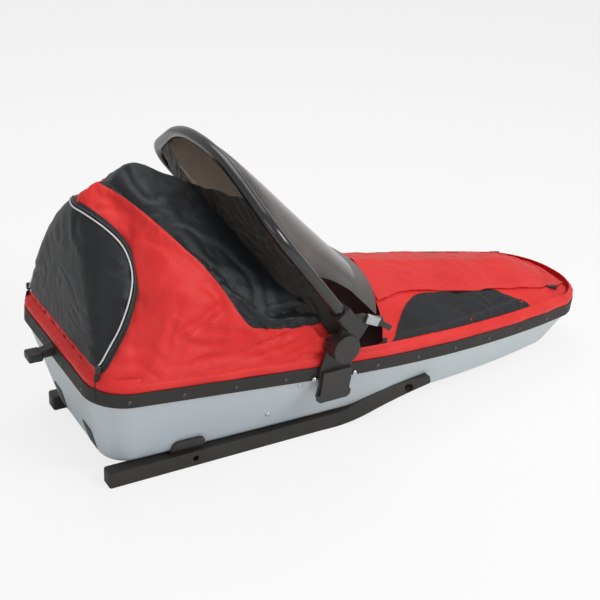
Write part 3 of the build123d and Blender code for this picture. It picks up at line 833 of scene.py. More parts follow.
def simulate(obj: bpy.types.Object, held: Callable[[Vector], float], slack: Slack) -> None:
    """Let a sheet buckle as slack cloth does, and apply the result.

    Args:
        obj: The sheet.
        held: Gives 1 where it is sewn down and less where it is free.
        slack: How it is simulated.
    """
    before = [vertex.co.copy() for vertex in obj.data.vertices]
    group = obj.vertex_groups.new(name="sewn")
    for vertex in obj.data.vertices:
        group.add([vertex.index], held(vertex.co), "REPLACE")
    modifier = obj.modifiers.new("cloth", "CLOTH")
    cloth = modifier.settings
    cloth.quality = 5
    cloth.mass = 0.2
    cloth.vertex_group_mass = "sewn"
    cloth.pin_stiffness = 0.6
    cloth.shrink_min = -slack.growth
    cloth.bending_stiffness = 0.4
    cloth.effector_weights.gravity = slack.weight
    cloth.use_pressure = slack.pressure > 0
    cloth.uniform_pressure_force = slack.pressure
    modifier.collision_settings.use_collision = False
    modifier.point_cache.frame_end = slack.frames + 1
    scene = bpy.context.scene
    for frame in range(1, slack.frames + 1):
        scene.frame_set(frame)
    choose(obj)
    bpy.ops.object.modifier_apply(modifier=modifier.name)
    scene.frame_set(1)
    for vertex, old in zip(obj.data.vertices, before):
        move = vertex.co - old
        if move.length > slack.cap:
            vertex.co = old + move * (slack.cap / move.length)
    obj.vertex_groups.clear()


def sheet_area(obj: bpy.types.Object) -> float:
    """Area of one side of a sheet that has its thickness."""
    return sum(face.area for face in obj.data.polygons) / 2


def hang(obj: bpy.types.Object, held: str, *rests_on: str, flat: Point2 | None = None) -> None:
    """Log the size of a finished sheet's cut, as its UV map has it in metres.

    Args:
        obj: The sheet.
        held: How it is held. Not used.
        rests_on: Names of the pieces that it is fixed to or lies on. Not used.
        flat: Width and length of the cut where they are known without the UV map.
    """
    area = sheet_area(obj)
    places = [corner.uv for corner in obj.data.uv_layers[0].data]
    width, length = flat or [max(uv[k] for uv in places) - min(uv[k] for uv in places) for k in (0, 1)]
    width = max(width, area / length)
    length = min(length, area / (CUT_SHARE * width))    # a cut in several pieces is laid closer
    LOG.info("%s: cut %.3f x %.3f m, %.4f m2", obj.name, width, length, area)


# Forms of the sled


def patch(low: Sequence[Point2], high: Sequence[Point2], right: Sequence[Point2],
          left: Sequence[Point2]) -> Callable[[float, float], Point2]:
    """A smooth map from two shares to the inside of four joined lines.

    Args:
        low: Lower line, from the right to the left.
        high: Upper line, the same way.
        right: Right line, upwards.
        left: Left line, upwards.

    Returns:
        A function that gives the point at two shares.
    """
    tracks = [Track(line) for line in (low, high, right, left)]

    def spot(across: float, along: float) -> Point2:
        """The point at two shares."""
        shares = (across, across, along, along)
        ends = [track.place(track.length * share) for track, share in zip(tracks, shares)]
        found = []
        for k in (0, 1):
            corners = mix(
                mix(low[0][k], low[-1][k], across), mix(high[0][k], high[-1][k], across), along)
            found.append(mix(ends[0][k], ends[1][k], along) + mix(ends[2][k], ends[3][k], across) - corners)
        return found[0], found[1]

    return spot


class RimLine:
    """Plan line of the tub's rim, from the middle of the stern to the middle of the bow."""

    HALF = 0.2705
    CORNER = 0.082
    STERN_SHARE = 0.95
    SHARES = ((0.22, 0.972), (0.43, 1.0), (0.69, 0.875), (0.93, 0.587), (0.984, 0.34))

    def __init__(self, inset: float) -> None:
        """Lay out the line, drawn in from the strip's outer face."""
        length = math.hypot(RIM_LENGTH, RIM_FALL) - inset
        half, corner = self.HALF - inset, self.CORNER - inset
        stern = self.STERN_SHARE * half
        cut = corner * (1 - math.cos(math.pi / 4))
        mid, wide, taper, cheek, nose = [
            (inset + along * (length - inset), out * half) for along, out in self.SHARES]
        points = [(inset, 0.0)]
        points += arc_through(
            (inset, stern - corner), (inset + cut, stern - cut), (inset + corner, stern), 12)
        points += arc_through((inset + corner, stern), mid, wide, 24)[1:]
        points += arc_through(wide, taper, cheek, 24)[1:]
        points += arc_through(cheek, nose, (length, 0.0), 24)[1:]
        self.track = Track(points)

    def place(self, distance: float, above: float, out: float = 0.0) -> Vector:
        """A point by its distance round the right side from the stern's middle.

        Args:
            distance: Along the rim, past the bow's middle for the left side.
            above: Over the strip's lower edge, square to the rim.
            out: Outwards from the line.

        Returns:
            The point in the frame.
        """
        full = self.track.length
        distance = distance % (2 * full)
        side = -1 if distance <= full else 1
        short = distance if distance <= full else 2 * full - distance
        along, away = self.track.place(short)
        way = self.track.way(short)
        along, away = along - way[1] * out, away + way[0] * out
        return Vector((
            at(along * math.cos(LEAN) + above * math.sin(LEAN)),
            side * away,
            RIM_HEIGHT - along * math.sin(LEAN) + above * math.cos(LEAN),
        ))


def arch(rise: float, half: float, shoulder: float, fullness: float) -> Track:
    """Half of an arched cross-section, from its crown down to its foot, as (out, up)."""
    knee = (half * fullness, shoulder + (rise - shoulder) * fullness)
    return Track([*arc_through((0.0, rise), knee, (half, shoulder), 32), (half, 0.0)])


@dataclass
class HoodForm:
    """The luggage hood's form: arched sections, rounded off to a leaning stern wall."""

    sections: tuple[tuple[float, ...], ...] = (
        # base_at, base_height, top_at, top_height, half_width, shoulder_height
        (0.080, 0.224, 0.128, 0.603, 0.250, 0.260),
        (0.184, 0.220, 0.190, 0.6375, 0.257, 0.3825),
        (0.394, 0.214, 0.262, 0.604, 0.258, 0.376),
        (0.604, 0.208, 0.330, 0.5775, 0.256, 0.3755),
    )
    rounding: float = 0.068
    fullness: float = 0.607
    wall_foot: Point2 = (0.010, 0.226)
    wall_head: Point2 = (0.062, 0.560)
    arches: dict = field(default_factory=dict)

    def __post_init__(self) -> None:
        """Work out the stern wall's directions and half of its edge, as (out, up)."""
        rise = Vector((self.wall_head[0] - self.wall_foot[0], 0, self.wall_head[1] - self.wall_foot[1]))
        self.up = rise.normalized()
        self.ahead = Vector((self.up.z, 0, -self.up.x))
        self.foot = Vector((at(self.wall_foot[0]), 0, self.wall_foot[1]))
        crown = self.section(0.0)[2].points[0][1]
        _, base, _, _, half, shoulder = self.sections[0]
        self.edge = arch(crown - self.rounding, half - self.rounding, shoulder - base, self.fullness)

    def section(self, share: float) -> tuple[Vector, Vector, Track]:
        """Foot, upward direction and half arch at a share from the rounding to the cockpit."""
        key = round(share, 4)
        if key not in self.arches:
            base_at, base_height, top_at, top_height, half, shoulder = between(self.sections, share)
            rise = Vector((top_at - base_at, 0, top_height - base_height))
            track = arch(rise.length, half, shoulder - base_height, self.fullness)
            self.arches[key] = (Vector((at(base_at), 0, base_height)), rise.normalized(), track)
        return self.arches[key]

    def point(self, row: float, across: float) -> Vector:
        """A point of the form.

        Args:
            row: -1 at the stern wall's edge, 0 behind the rounding, 1 at the cockpit.
            across: -1 at the right foot, 0 at the crown, 1 at the left foot.

        Returns:
            The point in the frame.
        """
        foot, up, track = self.section(max(row, 0.0))
        out, high = track.place(abs(across) * track.length)
        whole = foot + up * high + Vector((0, math.copysign(out, across), 0))
        if row >= 0:
            return whole
        wall = self.wall_point(*self.edge.place(abs(across) * self.edge.length))
        wall.y = math.copysign(wall.y, across)
        turn = (row + 1) * math.pi / 2
        corner = wall + (whole - wall).project(self.ahead)
        side = whole - corner
        return wall + side * math.sin(turn) + (corner - wall) * (1 - math.cos(turn))

    def wall_point(self, out: float, high: float) -> Vector:
        """A point of the flat stern wall."""
        return self.foot + self.up * high + Vector((0, out, 0))

    def wrap(self, out: float, high: float, proud: float = 0.0) -> Vector:
        """Lay a point of the unrolled stern wall on the rounded form.

        Args:
            out: Sideways from the middle, measured along the cloth.
            high: Up along the cloth from the wall's foot.
            proud: Distance off the form.

        Returns:
            The point in the frame.
        """
        side, away = (-1 if out < 0 else 1), abs(out)
        if high < self.edge.points[0][1] and away < self.reach_at(high):
            return self.wall_point(out, high) - self.ahead * proud
        foot_out, foot_high = self.edge.place(self.edge.nearest((away, high)))
        outward = Vector((away - foot_out, high - foot_high))
        over = outward.length
        outward.normalize()
        turn = min(over / self.rounding, math.pi / 2)
        rest = max(0.0, over - self.rounding * math.pi / 2)
        radius = self.rounding + proud
        wall = self.wall_point(side * (foot_out + outward.x * radius * math.sin(turn)),
                               foot_high + outward.y * radius * math.sin(turn))
        return wall + self.ahead * (self.rounding - radius * math.cos(turn) + rest)

    def reach_at(self, high: float) -> float:
        """Half width of the flat wall at a height."""
        points = self.edge.points
        for (ax, ay), (bx, by) in zip(points, points[1:]):
            if by <= high <= ay:
                return mix(ax, bx, (ay - high) / (ay - by) if ay != by else 0.0)
        return points[-1][0]

    def height_at(self, out: float) -> float:
        """Height of the flat wall at a distance from its middle."""
        points = self.edge.points
        heights = [
            mix(ay, by, (out - ax) / (bx - ax))
            for (ax, ay), (bx, by) in zip(points, points[1:]) if ax <= out <= bx and bx > ax
        ]
        return max(heights, default=self.sections[0][5] - self.sections[0][1])


@dataclass
class CoverForm:
    """The foot cover's form: a low tent that runs down to the bow."""

    sections: tuple[tuple[float, ...], ...] = (
        # base_at, ridge_at, ridge_height, half_width
        (0.608, 0.742, 0.322, 0.258),
        (0.765, 0.805, 0.3095, 0.252),
        (0.900, 0.905, 0.290, 0.240),
        (1.020, 1.020, 0.271, 0.219),
        (1.130, 1.130, 0.251, 0.194),
        (1.215, 1.215, 0.241, 0.169),
        (1.300, 1.300, 0.206, 0.139),
        (1.360, 1.360, 0.173, 0.098),
        (1.392, 1.390, 0.1455, 0.052),
    )
    shoulder: float = 0.018
    fullness: float = 0.58
    hollow: float = 0.134       # factor on how far the cockpit edge is cut back to the bow

    def point(self, row: float, across: float, proud: float = 0.0) -> Vector:
        """A point of the form.

        Args:
            row: 0 at the cockpit, 1 at the bow.
            across: -1 at the right foot, 0 at the ridge, 1 at the left foot.
            proud: Distance off the form, sideways and up.

        Returns:
            The point in the frame.
        """
        base_at, ridge_at, ridge_height, half = between(self.sections, row)
        base_height = RIM_HEIGHT - RIM_FALL * base_at / RIM_LENGTH + STRIP_HEIGHT
        rise = Vector((ridge_at - base_at, 0, ridge_height - base_height))
        high = rise.length
        shoulder = min(self.shoulder, high * 0.45)
        track = arch(high + proud, half + proud, shoulder, self.fullness)
        out, up = track.place(abs(across) * track.length)
        share = min(1.0, up / high)
        sag = (share**0.45 - share) * smooth(0.03, 0.22, share)
        hollow = self.hollow * (1 - smooth(0.0, 0.12, row)) * sag
        foot = Vector((at(base_at) + hollow, 0, base_height))
        return foot + rise.normalized() * up + Vector((0, math.copysign(out, across), 0))


# Luggage hood


def fold(height: float, width: float, *points: Point3) -> Fold:
    """A fold given by places counted from the stern, in metres, on the right side."""
    return Fold(tuple((at(x), y, z) for x, y, z in points), height, width)


def both_sides(folds: Sequence[Fold], deeper: float = 1.0) -> list[Fold]:
    """The folds and, a little shifted, their like on the left side.

    Args:
        folds: The right side's folds.
        deeper: Factor on their heights.

    Returns:
        The folds of both sides.
    """
    shift = 0.018
    right = [Fold(one.line, one.height * deeper, one.width) for one in folds]
    left = [
        Fold(tuple((x + shift, -y, z) for x, y, z in one.line), one.height * 0.9, one.width * 1.1)
        for one in right
    ]
    return [*right, *left]


@dataclass
class LuggageHood:
    """Red hood over the luggage space, its black cockpit end and the zipped stern hatch."""

    form: HoodForm = field(default_factory=HoodForm)
    cloth: float = 0.0012
    columns: int = 180
    rows: int = 84
    rounding_rows: float = 0.16
    hem_droop: float = 0.010
    hem_wave: float = 0.012
    fold_depth: float = 1.5         # factor on the folds' heights, once the cloth is stretched
    seam: tuple[Point2, ...] = (
        # from_stern, height
        (0.104, 0.645), (0.110, 0.617), (0.118, 0.601), (0.132, 0.593), (0.150, 0.582), (0.174, 0.561),
        (0.199, 0.535), (0.221, 0.510), (0.246, 0.483), (0.273, 0.444), (0.292, 0.410), (0.308, 0.380),
        (0.330, 0.351), (0.353, 0.340), (0.412, 0.328), (0.473, 0.319), (0.540, 0.315), (0.640, 0.308),
    )
    hatch: tuple[Point2, ...] = (
        # out, up along the cloth from the wall's foot
        (0.1990, 0.0750), (0.2075, 0.0920), (0.2140, 0.1300), (0.2171, 0.1673), (0.2130, 0.2097),
        (0.2042, 0.2444), (0.1907, 0.2728), (0.1695, 0.2968), (0.1402, 0.3161), (0.0985, 0.3271),
        (0.0423, 0.3330), (0.0, 0.3335),
    )
    hatch_steps: int = 8            # points that the line gets from one to the next
    hatch_corner: int = 7           # point where the hatch's side becomes its top
    hatch_proud: float = 0.004
    hatch_bulge: float = 0.007
    hatch_creases: tuple[tuple[Point2, ...], ...] = (
        # out, up along the cloth
        ((-0.235, 0.215), (-0.20, 0.205), (-0.165, 0.175)),
        ((-0.225, 0.150), (-0.20, 0.120), (-0.19, 0.095)),
        ((-0.21, 0.285), (-0.16, 0.265), (-0.10, 0.270)),
        ((0.10, 0.320), (0.12, 0.270), (0.16, 0.230)),
        ((-0.02, 0.325), (-0.04, 0.295), (-0.08, 0.280)),
        ((0.22, 0.150), (0.18, 0.130), (0.14, 0.140)),
    )
    wall_puckers: tuple[Point2, ...] = (
        # out at the foot, how far the head lies beside it
        (-0.15, 0.03), (-0.11, 0.04), (-0.05, 0.03), (0.01, 0.04), (0.07, -0.02), (0.13, -0.04),
    )
    tape_gap: float = 0.003
    tape_width: float = 0.014
    coil_share: float = 0.35        # where the coil lies across the tape
    piping_radius: float = 0.0017
    coil_radius: float = 0.0019

    def folds(self) -> list[Fold]:
        """The long folds of the red sides and the black cockpit end."""
        return both_sides([
            fold(0.0065, 0.011, (0.295, -0.25, 0.420), (0.238, -0.25, 0.387), (0.195, -0.25, 0.371),
                 (0.150, -0.25, 0.345)),
            fold(0.0050, 0.012, (0.225, -0.24, 0.535), (0.160, -0.24, 0.528), (0.100, -0.23, 0.505)),
            fold(0.0040, 0.010, (0.205, -0.24, 0.500), (0.150, -0.24, 0.470), (0.128, -0.24, 0.425)),
            fold(0.0055, 0.010, (0.560, -0.25, 0.318), (0.430, -0.26, 0.309), (0.304, -0.26, 0.292),
                 (0.150, -0.26, 0.292)),
            fold(0.0045, 0.008, (0.560, -0.25, 0.300), (0.470, -0.26, 0.292), (0.380, -0.26, 0.279),
                 (0.260, -0.26, 0.275)),
            fold(0.0040, 0.008, (0.130, -0.25, 0.430), (0.166, -0.25, 0.385), (0.150, -0.25, 0.335)),
            fold(0.0040, 0.010, (0.200, -0.26, 0.372), (0.260, -0.26, 0.350), (0.330, -0.26, 0.332)),
            fold(0.0035, 0.009, (0.170, -0.25, 0.360), (0.215, -0.25, 0.330), (0.300, -0.25, 0.318)),
            fold(0.0040, 0.012, (0.245, -0.24, 0.470), (0.190, -0.24, 0.440), (0.140, -0.24, 0.395)),
            fold(0.0070, 0.012, (0.330, -0.22, 0.540), (0.270, -0.22, 0.545), (0.215, -0.22, 0.560)),
            fold(0.0060, 0.010, (0.400, -0.24, 0.470), (0.340, -0.24, 0.490), (0.280, -0.24, 0.490)),
            fold(0.0060, 0.011, (0.450, -0.25, 0.400), (0.380, -0.25, 0.425), (0.320, -0.25, 0.428)),
            fold(0.0060, 0.009, (0.520, -0.25, 0.345), (0.430, -0.25, 0.360), (0.350, -0.25, 0.362)),
            fold(0.0070, 0.013, (0.300, -0.10, 0.585), (0.250, -0.13, 0.588), (0.200, -0.17, 0.585)),
            fold(0.0060, 0.010, (0.330, -0.14, 0.570), (0.285, -0.18, 0.563), (0.240, -0.19, 0.560)),
            fold(0.0050, 0.010, (0.260, -0.04, 0.612), (0.215, -0.09, 0.622), (0.170, -0.13, 0.610)),
            fold(0.0050, 0.009, (0.350, -0.20, 0.530), (0.345, -0.235, 0.500), (0.360, -0.245, 0.455)),
        ], self.fold_depth)

    def place(self, across: float, along: float) -> Vector:
        """The shell's point at two shares, across the sled and from the stern to the cockpit."""
        if along < self.rounding_rows:
            row = along / self.rounding_rows - 1
        else:
            row = (along - self.rounding_rows) / (1 - self.rounding_rows)
        point = self.form.point(row, across * 2 - 1)
        loose = smooth(0.75, 1.0, row) * (1 - smooth(0.35, 0.75, abs(across * 2 - 1)))
        point.z -= self.hem_droop * loose * (0.6 + 0.8 * noise.noise(Vector((across * 14, row * 3, 0.5))))
        point.x += self.hem_wave * loose * noise.noise(Vector((across * 11, row * 2, 7.5)))
        return point

    def free(self, point: Vector) -> float:
        """How free the shell is at a point: sewn at the foot, the wall's edge and the seam."""
        near = min(math.hypot(point.x - at(x), point.z - z) for x, z in self.seam_line[::3])
        foot = smooth(0.262, 0.300, point.z + (point.x - STERN) * RIM_FALL / RIM_LENGTH)
        stern = smooth(0.0, 0.035, (point - self.form.foot).dot(self.form.ahead))
        return foot * stern * (0.35 + 0.65 * smooth(0.0, 0.02, near))

    def build(self) -> None:
        """Make every piece of the hood."""
        self.seam_line = curve_through(self.seam, 6)
        shell = laid_grid("hood_shell", self.columns, self.rows, self.place)
        simulate(shell, lambda point: 1.0 - FREEDOM * self.free(point), HUNG_CLOTH)
        fold_cloth(shell, self.folds(), self.free, crumple=0.0034, size=0.060)
        self.roll_hem(shell)
        thicken(shell, self.cloth)
        black = shell.copy()
        black.data = shell.data.copy()
        bpy.context.collection.objects.link(black)
        black.name = "hood_cockpit_end"
        cutter = self.seam_block()
        apply(shell, "BOOLEAN", operation="DIFFERENCE", object=cutter, solver="FAST")
        apply(black, "BOOLEAN", operation="INTERSECT", object=cutter, solver="FAST")
        bpy.data.objects.remove(cutter)
        soften(shell, 50)
        soften(black, 50)
        settle(shell, RED_CLOTH, SLED, "red_fabric", "hood")
        hang(shell, "stretched", "rim_strip")
        settle(black, BLACK_CLOTH, SLED, "black_fabric", "hood_front")
        hang(black, "gathered", "hood_shell")
        self.wall()
        self.hatch_pieces()

    def roll_hem(self, shell: bpy.types.Object) -> None:
        """Turn the cockpit edge in as an elastic hem."""
        width = self.columns + 1
        vertices = shell.data.vertices
        for column in range(width):
            edge = vertices[self.rows * width + column]
            beside = vertices[(self.rows - 1) * width + column]
            inward = Vector((0, -edge.co.y * 0.05, -0.006))
            edge.co += inward * 1.2 + Vector((-0.004, 0, 0))
            beside.co += inward * 0.3

    def seam_block(self) -> bpy.types.Object:
        """A block across the sled whose stern side is the seam between red and black."""
        outline = [*self.seam_line, (0.75, 0.30), (0.75, 0.80), (self.seam_line[0][0], 0.80)]
        choose()
        bpy.ops.mesh.primitive_circle_add(vertices=len(outline), radius=1, fill_type="NGON")
        block = bpy.context.object
        for vertex, (x, z) in zip(block.data.vertices, outline):
            vertex.co = (at(x), -0.5, z)
        bpy.ops.object.mode_set(mode="EDIT")
        bpy.ops.mesh.select_all(action="SELECT")
        bpy.ops.mesh.extrude_region_move(TRANSFORM_OT_translate={"value": (0, 1.0, 0)})
        bpy.ops.mesh.select_all(action="SELECT")
        bpy.ops.mesh.normals_make_consistent(inside=False)
        bpy.ops.object.mode_set(mode="OBJECT")
        return block

    def wall(self) -> None:
        """The red stern wall behind and below the hatch."""
        form = self.form
        half = form.edge.points[-1][0]

        def place(across: float, along: float) -> Vector:
            """The wall's point at two shares, as on a curtain."""
            out = (across * 2 - 1) * half
            return form.wall_point(out, form.height_at(abs(out)) * along)

        wall = laid_grid("hood_stern_wall", 120, 90, place)
        puckers = []
        for out, lean in self.wall_puckers:
            line = tuple(form.wall_point(out + lean * k / 3, 0.008 + k * 0.022) for k in range(4))
            puckers.append(Fold(line, height=0.0035, width=0.007))

        def free(point: Vector) -> float:
            """Free over the foot's seam and away from both sides."""
            return smooth(0.0, 0.02, point.z - form.foot.z - 0.03) * smooth(0.178, 0.15, abs(point.y))

        fold_cloth(wall, puckers, free, crumple=0.0012, size=0.040)
        sew(wall, self.cloth, RED_CLOTH, "red_fabric", "hood")
        hang(wall, "stretched", "hood_shell", flat=(0.37, 0.34))

    def outline(self, wider: float = 0.0) -> list[Point2]:
        """The hatch's outline from its right foot over the top to its left foot.

        Args:
            wider: How far it is let out all round, but not below.

        Returns:
            Points as (out, up along the cloth).
        """
        half = curve_through(self.hatch, self.hatch_steps)
        line = [(-out, high) for out, high in half] + [(out, high) for out, high in reversed(half)][1:]
        if not wider:
            return line
        track = Track(line)
        ways = [track.way(reach) for reach in track.reach]
        return [
            (out - way[1] * wider, high + way[0] * wider) for (out, high), way in zip(line, ways)]

    def hatch_pieces(self) -> None:
        """The black hatch, its white piping, the zip round it and the two pulls."""
        line = self.outline()
        bend = self.hatch_corner * self.hatch_steps
        spot = patch([line[0], line[-1]], line[bend:-bend], line[:bend + 1], line[:-bend - 2:-1])

        def place(across: float, along: float) -> Vector:
            """The hatch's point at two shares."""
            edge = min(1.0, 4 * along * (1 - along)) * min(1.0, 4 * across * (1 - across))
            return self.form.wrap(*spot(across, along), self.hatch_proud + self.hatch_bulge * edge**0.7)

        panel = laid_grid("hatch_panel", 130, 90, place)
        creases = [
            Fold(tuple(self.form.wrap(*point, 0.008) for point in line), height=0.0026, width=0.010)
            for line in self.hatch_creases
        ]
        fold_cloth(panel, creases, everywhere, crumple=0.0008, size=0.045)
        sew(panel, 0.0015, BLACK_CLOTH, "black_fabric", "hatch")
        hang(panel, "stretched", "hood_shell")
        edge = [self.form.wrap(out, up, self.hatch_proud + 0.002) for out, up in self.outline(0.002)]
        piping = tube("hatch_piping", edge, self.piping_radius)
        settle(piping, PIPING, SLED, "black_fabric")
        self.tape()
        self.pulls()

    def tape(self) -> None:
        """Black zip tape round the hatch, with the closed coil down its middle."""
        rows = 4
        rings = [self.outline(self.tape_gap + self.tape_width * k / rows) for k in range(rows + 1)]
        count = len(rings[0]) - 1

        def place(across: float, along: float) -> Vector:
            """The tape's point at two shares, round the hatch and outwards."""
            spot = min(int(round(across * count)), count)
            out, up = rings[int(round(along * rows))][spot]
            return self.form.wrap(out, up, 0.0035 - 0.0015 * along)

        band = laid_grid("hatch_zip_tape", count, rows, place)
        sew(band, 0.0012, BELT, "black_fabric")
        middle = [self.form.wrap(out, up, 0.0045) for out, up in self.coil_line()]
        coil = tube("hatch_zip_coil", middle, self.coil_radius)
        settle(coil, NYLON, SLED, "black_plastic")

    def coil_line(self) -> list[Point2]:
        """The zip coil's line round the hatch."""
        return self.outline(self.tape_gap + self.tape_width * self.coil_share)

    def pulls(self) -> None:
        """A slider with a webbing pull at each end of the hatch's zip."""
        line = self.coil_line()
        sliders, straps = [], []
        for side, end in ((-1, 3), (1, -4)):
            out, up = line[end]
            sliders.append(rounded_block((0.012, 0.008, 0.016), self.form.wrap(out, up, 0.008), 0.0025))
            drop = [
                self.form.wrap(out + side * 0.003 * k, up - 0.010 - 0.013 * k, 0.007)
                for k in range(5)
            ]
            facing = Vector((-0.45, side * 0.9, 0))
            straps.append(strap("strap", drop, width=0.011, thick=0.0022, facing=facing))
        settle(joined("hatch_zip_sliders", sliders), NYLON, SLED, "black_plastic")
        settle(joined("hatch_pulls", straps), BELT, SLED, "webbing")


# Foot cover and hem


@dataclass
class FootCover:
    """Red cover over the bow with its zipped flap and the black side panels."""

    form: CoverForm = field(default_factory=CoverForm)
    cloth: float = 0.0012
    columns: int = 120
    rows: int = 130
    flap_edge: tuple[Point2, ...] = (
        # share along the cover, share of the arch from the ridge down
        (0.0, 0.500), (0.074, 0.470), (0.120, 0.445), (0.180, 0.430), (0.240, 0.455), (0.300, 0.495),
        (0.372, 0.525), (0.461, 0.535), (0.555, 0.590), (0.658, 0.655), (0.735, 0.675), (0.90, 0.68),
    )
    slider_row: float = 0.72
    loop_row: float = 0.012
    loop_share: float = 0.905
    inside_height: float = 0.1      # a height that lies under the cover everywhere
    panel_steps: int = 8            # points that the panel's line gets from one to the next
    panel_corners: tuple[int, int] = (4, 8)
    panel: tuple[Point2, ...] = (
        # from_stern, share of the arch from the ridge down
        (0.648, 0.901), (0.671, 0.808), (0.731, 0.664), (0.789, 0.538), (0.832, 0.475), (0.876, 0.477),
        (0.943, 0.487), (1.004, 0.518), (1.081, 0.535), (1.106, 0.630), (1.145, 0.770), (1.154, 0.874),
    )

    def place(self, across: float, along: float) -> Vector:
        """The tent's point at two shares."""
        return self.form.point(along, across * 2 - 1)

    def free(self, point: Vector) -> float:
        """How free the tent is: sewn at its foot."""
        base = RIM_HEIGHT - RIM_FALL * (point.x - STERN) / RIM_LENGTH + STRIP_HEIGHT
        return smooth(0.012, 0.05, point.z - base)

    def folds(self) -> list[Fold]:
        """The tent's long folds."""
        return [
            *both_sides([
                fold(0.0040, 0.010, (0.70, -0.10, 0.330), (0.765, -0.11, 0.322), (0.80, -0.16, 0.300)),
                fold(0.0040, 0.010, (0.83, -0.06, 0.322), (0.90, -0.10, 0.300), (0.93, -0.15, 0.275)),
                fold(0.0035, 0.009, (0.94, -0.02, 0.305), (0.93, -0.08, 0.295), (0.97, -0.14, 0.270)),
                fold(0.0030, 0.008, (1.02, -0.03, 0.290), (1.05, -0.08, 0.275), (1.12, -0.12, 0.245)),
                fold(0.0035, 0.008, (0.68, -0.24, 0.280), (0.73, -0.24, 0.262), (0.80, -0.24, 0.246)),
                fold(0.0035, 0.008, (1.16, -0.14, 0.220), (1.23, -0.14, 0.200), (1.32, -0.11, 0.185)),
                fold(0.0030, 0.007, (1.18, -0.16, 0.200), (1.26, -0.13, 0.200), (1.31, -0.10, 0.205)),
            ]),
            fold(0.0035, 0.012, (0.75, 0.0, 0.335), (0.95, 0.01, 0.302), (1.15, 0.0, 0.262)),
        ]

    def build(self) -> None:
        """Make every piece of the cover."""
        tent = laid_grid("foot_cover_tent", self.columns, self.rows, self.place)
        simulate(tent, lambda point: 1.0 - FREEDOM * self.free(point), HUNG_CLOTH)
        fold_cloth(tent, self.folds(), self.free, crumple=0.0012, size=0.055)
        tree = surface_tree(tent)
        sew(tent, self.cloth, RED_CLOTH, "red_fabric", "foot_cover")
        hang(tent, "stretched", "rim_strip")
        self.flap(tree)
        self.panels(tree)
        self.zip(tree)

    def on_tent(self, tree: BVHTree, row: float, across: float, proud: float) -> Vector:
        """A point a little off the folded tent."""
        point = self.form.point(row, across)
        found, normal, _, _ = tree.find_nearest(point)
        inside = Vector((point.x, 0, self.inside_height))
        outward = normal if normal.dot(point - inside) > 0 else -normal
        return found + outward * proud

    def flap_at(self, row: float) -> float:
        """Where the flap's edge lies at a share along the cover."""
        line = self.flap_edge
        for (ax, ay), (bx, by) in zip(line, line[1:]):
            if ax <= row <= bx:
                return mix(ay, by, (row - ax) / (bx - ax))
        return line[-1][1]

    def flap(self, tree: BVHTree) -> None:
        """The flap that closes the cover: a second layer with a free edge on each side."""
        last = self.flap_edge[-1][0]

        def place(across: float, along: float) -> Vector:
            """The flap's point at two shares."""
            row = mix(0.004, last, along)
            share = (across * 2 - 1) * self.flap_at(row)
            edge = smooth(0.80, 1.0, abs(across * 2 - 1))
            wave = noise.noise(Vector((row * 26, math.copysign(1.5, share), 0.0)))
            return self.on_tent(tree, row, share, 0.0022 + edge * (0.0025 + 0.0025 * wave))

        sheet = laid_grid("foot_cover_flap", 130, 150, place)
        fold_cloth(sheet, [], everywhere, crumple=0.0006, size=0.022)
        sew(sheet, self.cloth, RED_CLOTH, "red_fabric", "foot_cover")
        hang(sheet, "laid", "foot_cover_tent")

    def panels(self, tree: BVHTree) -> None:
        """The black panels let into the cover's sides."""
        rows = [section[0] for section in self.form.sections]

        def row_of(from_stern: float) -> float:
            """Share along the cover of a place along the sled."""
            for index, (a, b) in enumerate(zip(rows, rows[1:])):
                if a <= from_stern <= b:
                    return (index + (from_stern - a) / (b - a)) / (len(rows) - 1)
            return 1.0

        line = curve_through(self.panel, self.panel_steps)
        first, second = (corner * self.panel_steps for corner in self.panel_corners)
        spot = patch(
            [line[0], line[-1]], line[first:second + 1], line[:first + 1], line[:second - 1:-1])
        for name, side in SIDES:

            def place(across: float, along: float) -> Vector:
                """The panel's point at two shares."""
                x, share = spot(across, along)
                return self.on_tent(tree, row_of(x), side * share, 0.0016)

            panel = laid_grid("cover_side_panel_" + name, 120, 26, place)
            fold_cloth(panel, [], everywhere, crumple=0.0010, size=0.030)
            sew(panel, 0.0014, BLACK_CLOTH, "black_fabric", "side_panel_" + name)
            hang(panel, "laid", "foot_cover_tent")

    def zip(self, tree: BVHTree) -> None:
        """Zip sliders, their pulls and the small belt loops on the cover's sides."""
        sliders, straps, loops = [], [], []
        for _, side in SIDES:
            share = self.flap_at(self.slider_row) + 0.02
            head = self.on_tent(tree, self.slider_row, side * share, 0.006)
            sliders.append(rounded_block((0.034, 0.008, 0.007), head, 0.002, math.radians(9)))
            drop = [head + Vector((0.012 * k, side * 0.001 * k, -0.010 * k)) for k in range(4)]
            facing = Vector((0.3, side, 0.5))
            straps.append(strap("pull", drop, width=0.006, thick=0.0018, facing=facing))
            loop = self.on_tent(tree, self.loop_row, side * self.loop_share, 0.004)
            loops.append(rounded_block((0.013, 0.004, 0.026), loop, 0.0015))
        settle(joined("cover_zip_sliders", sliders), NYLON, SLED, "black_plastic")
        settle(joined("cover_zip_pulls", straps), BELT, SLED, "webbing")
        settle(joined("cover_belt_loops", loops), BELT, SLED, "webbing")


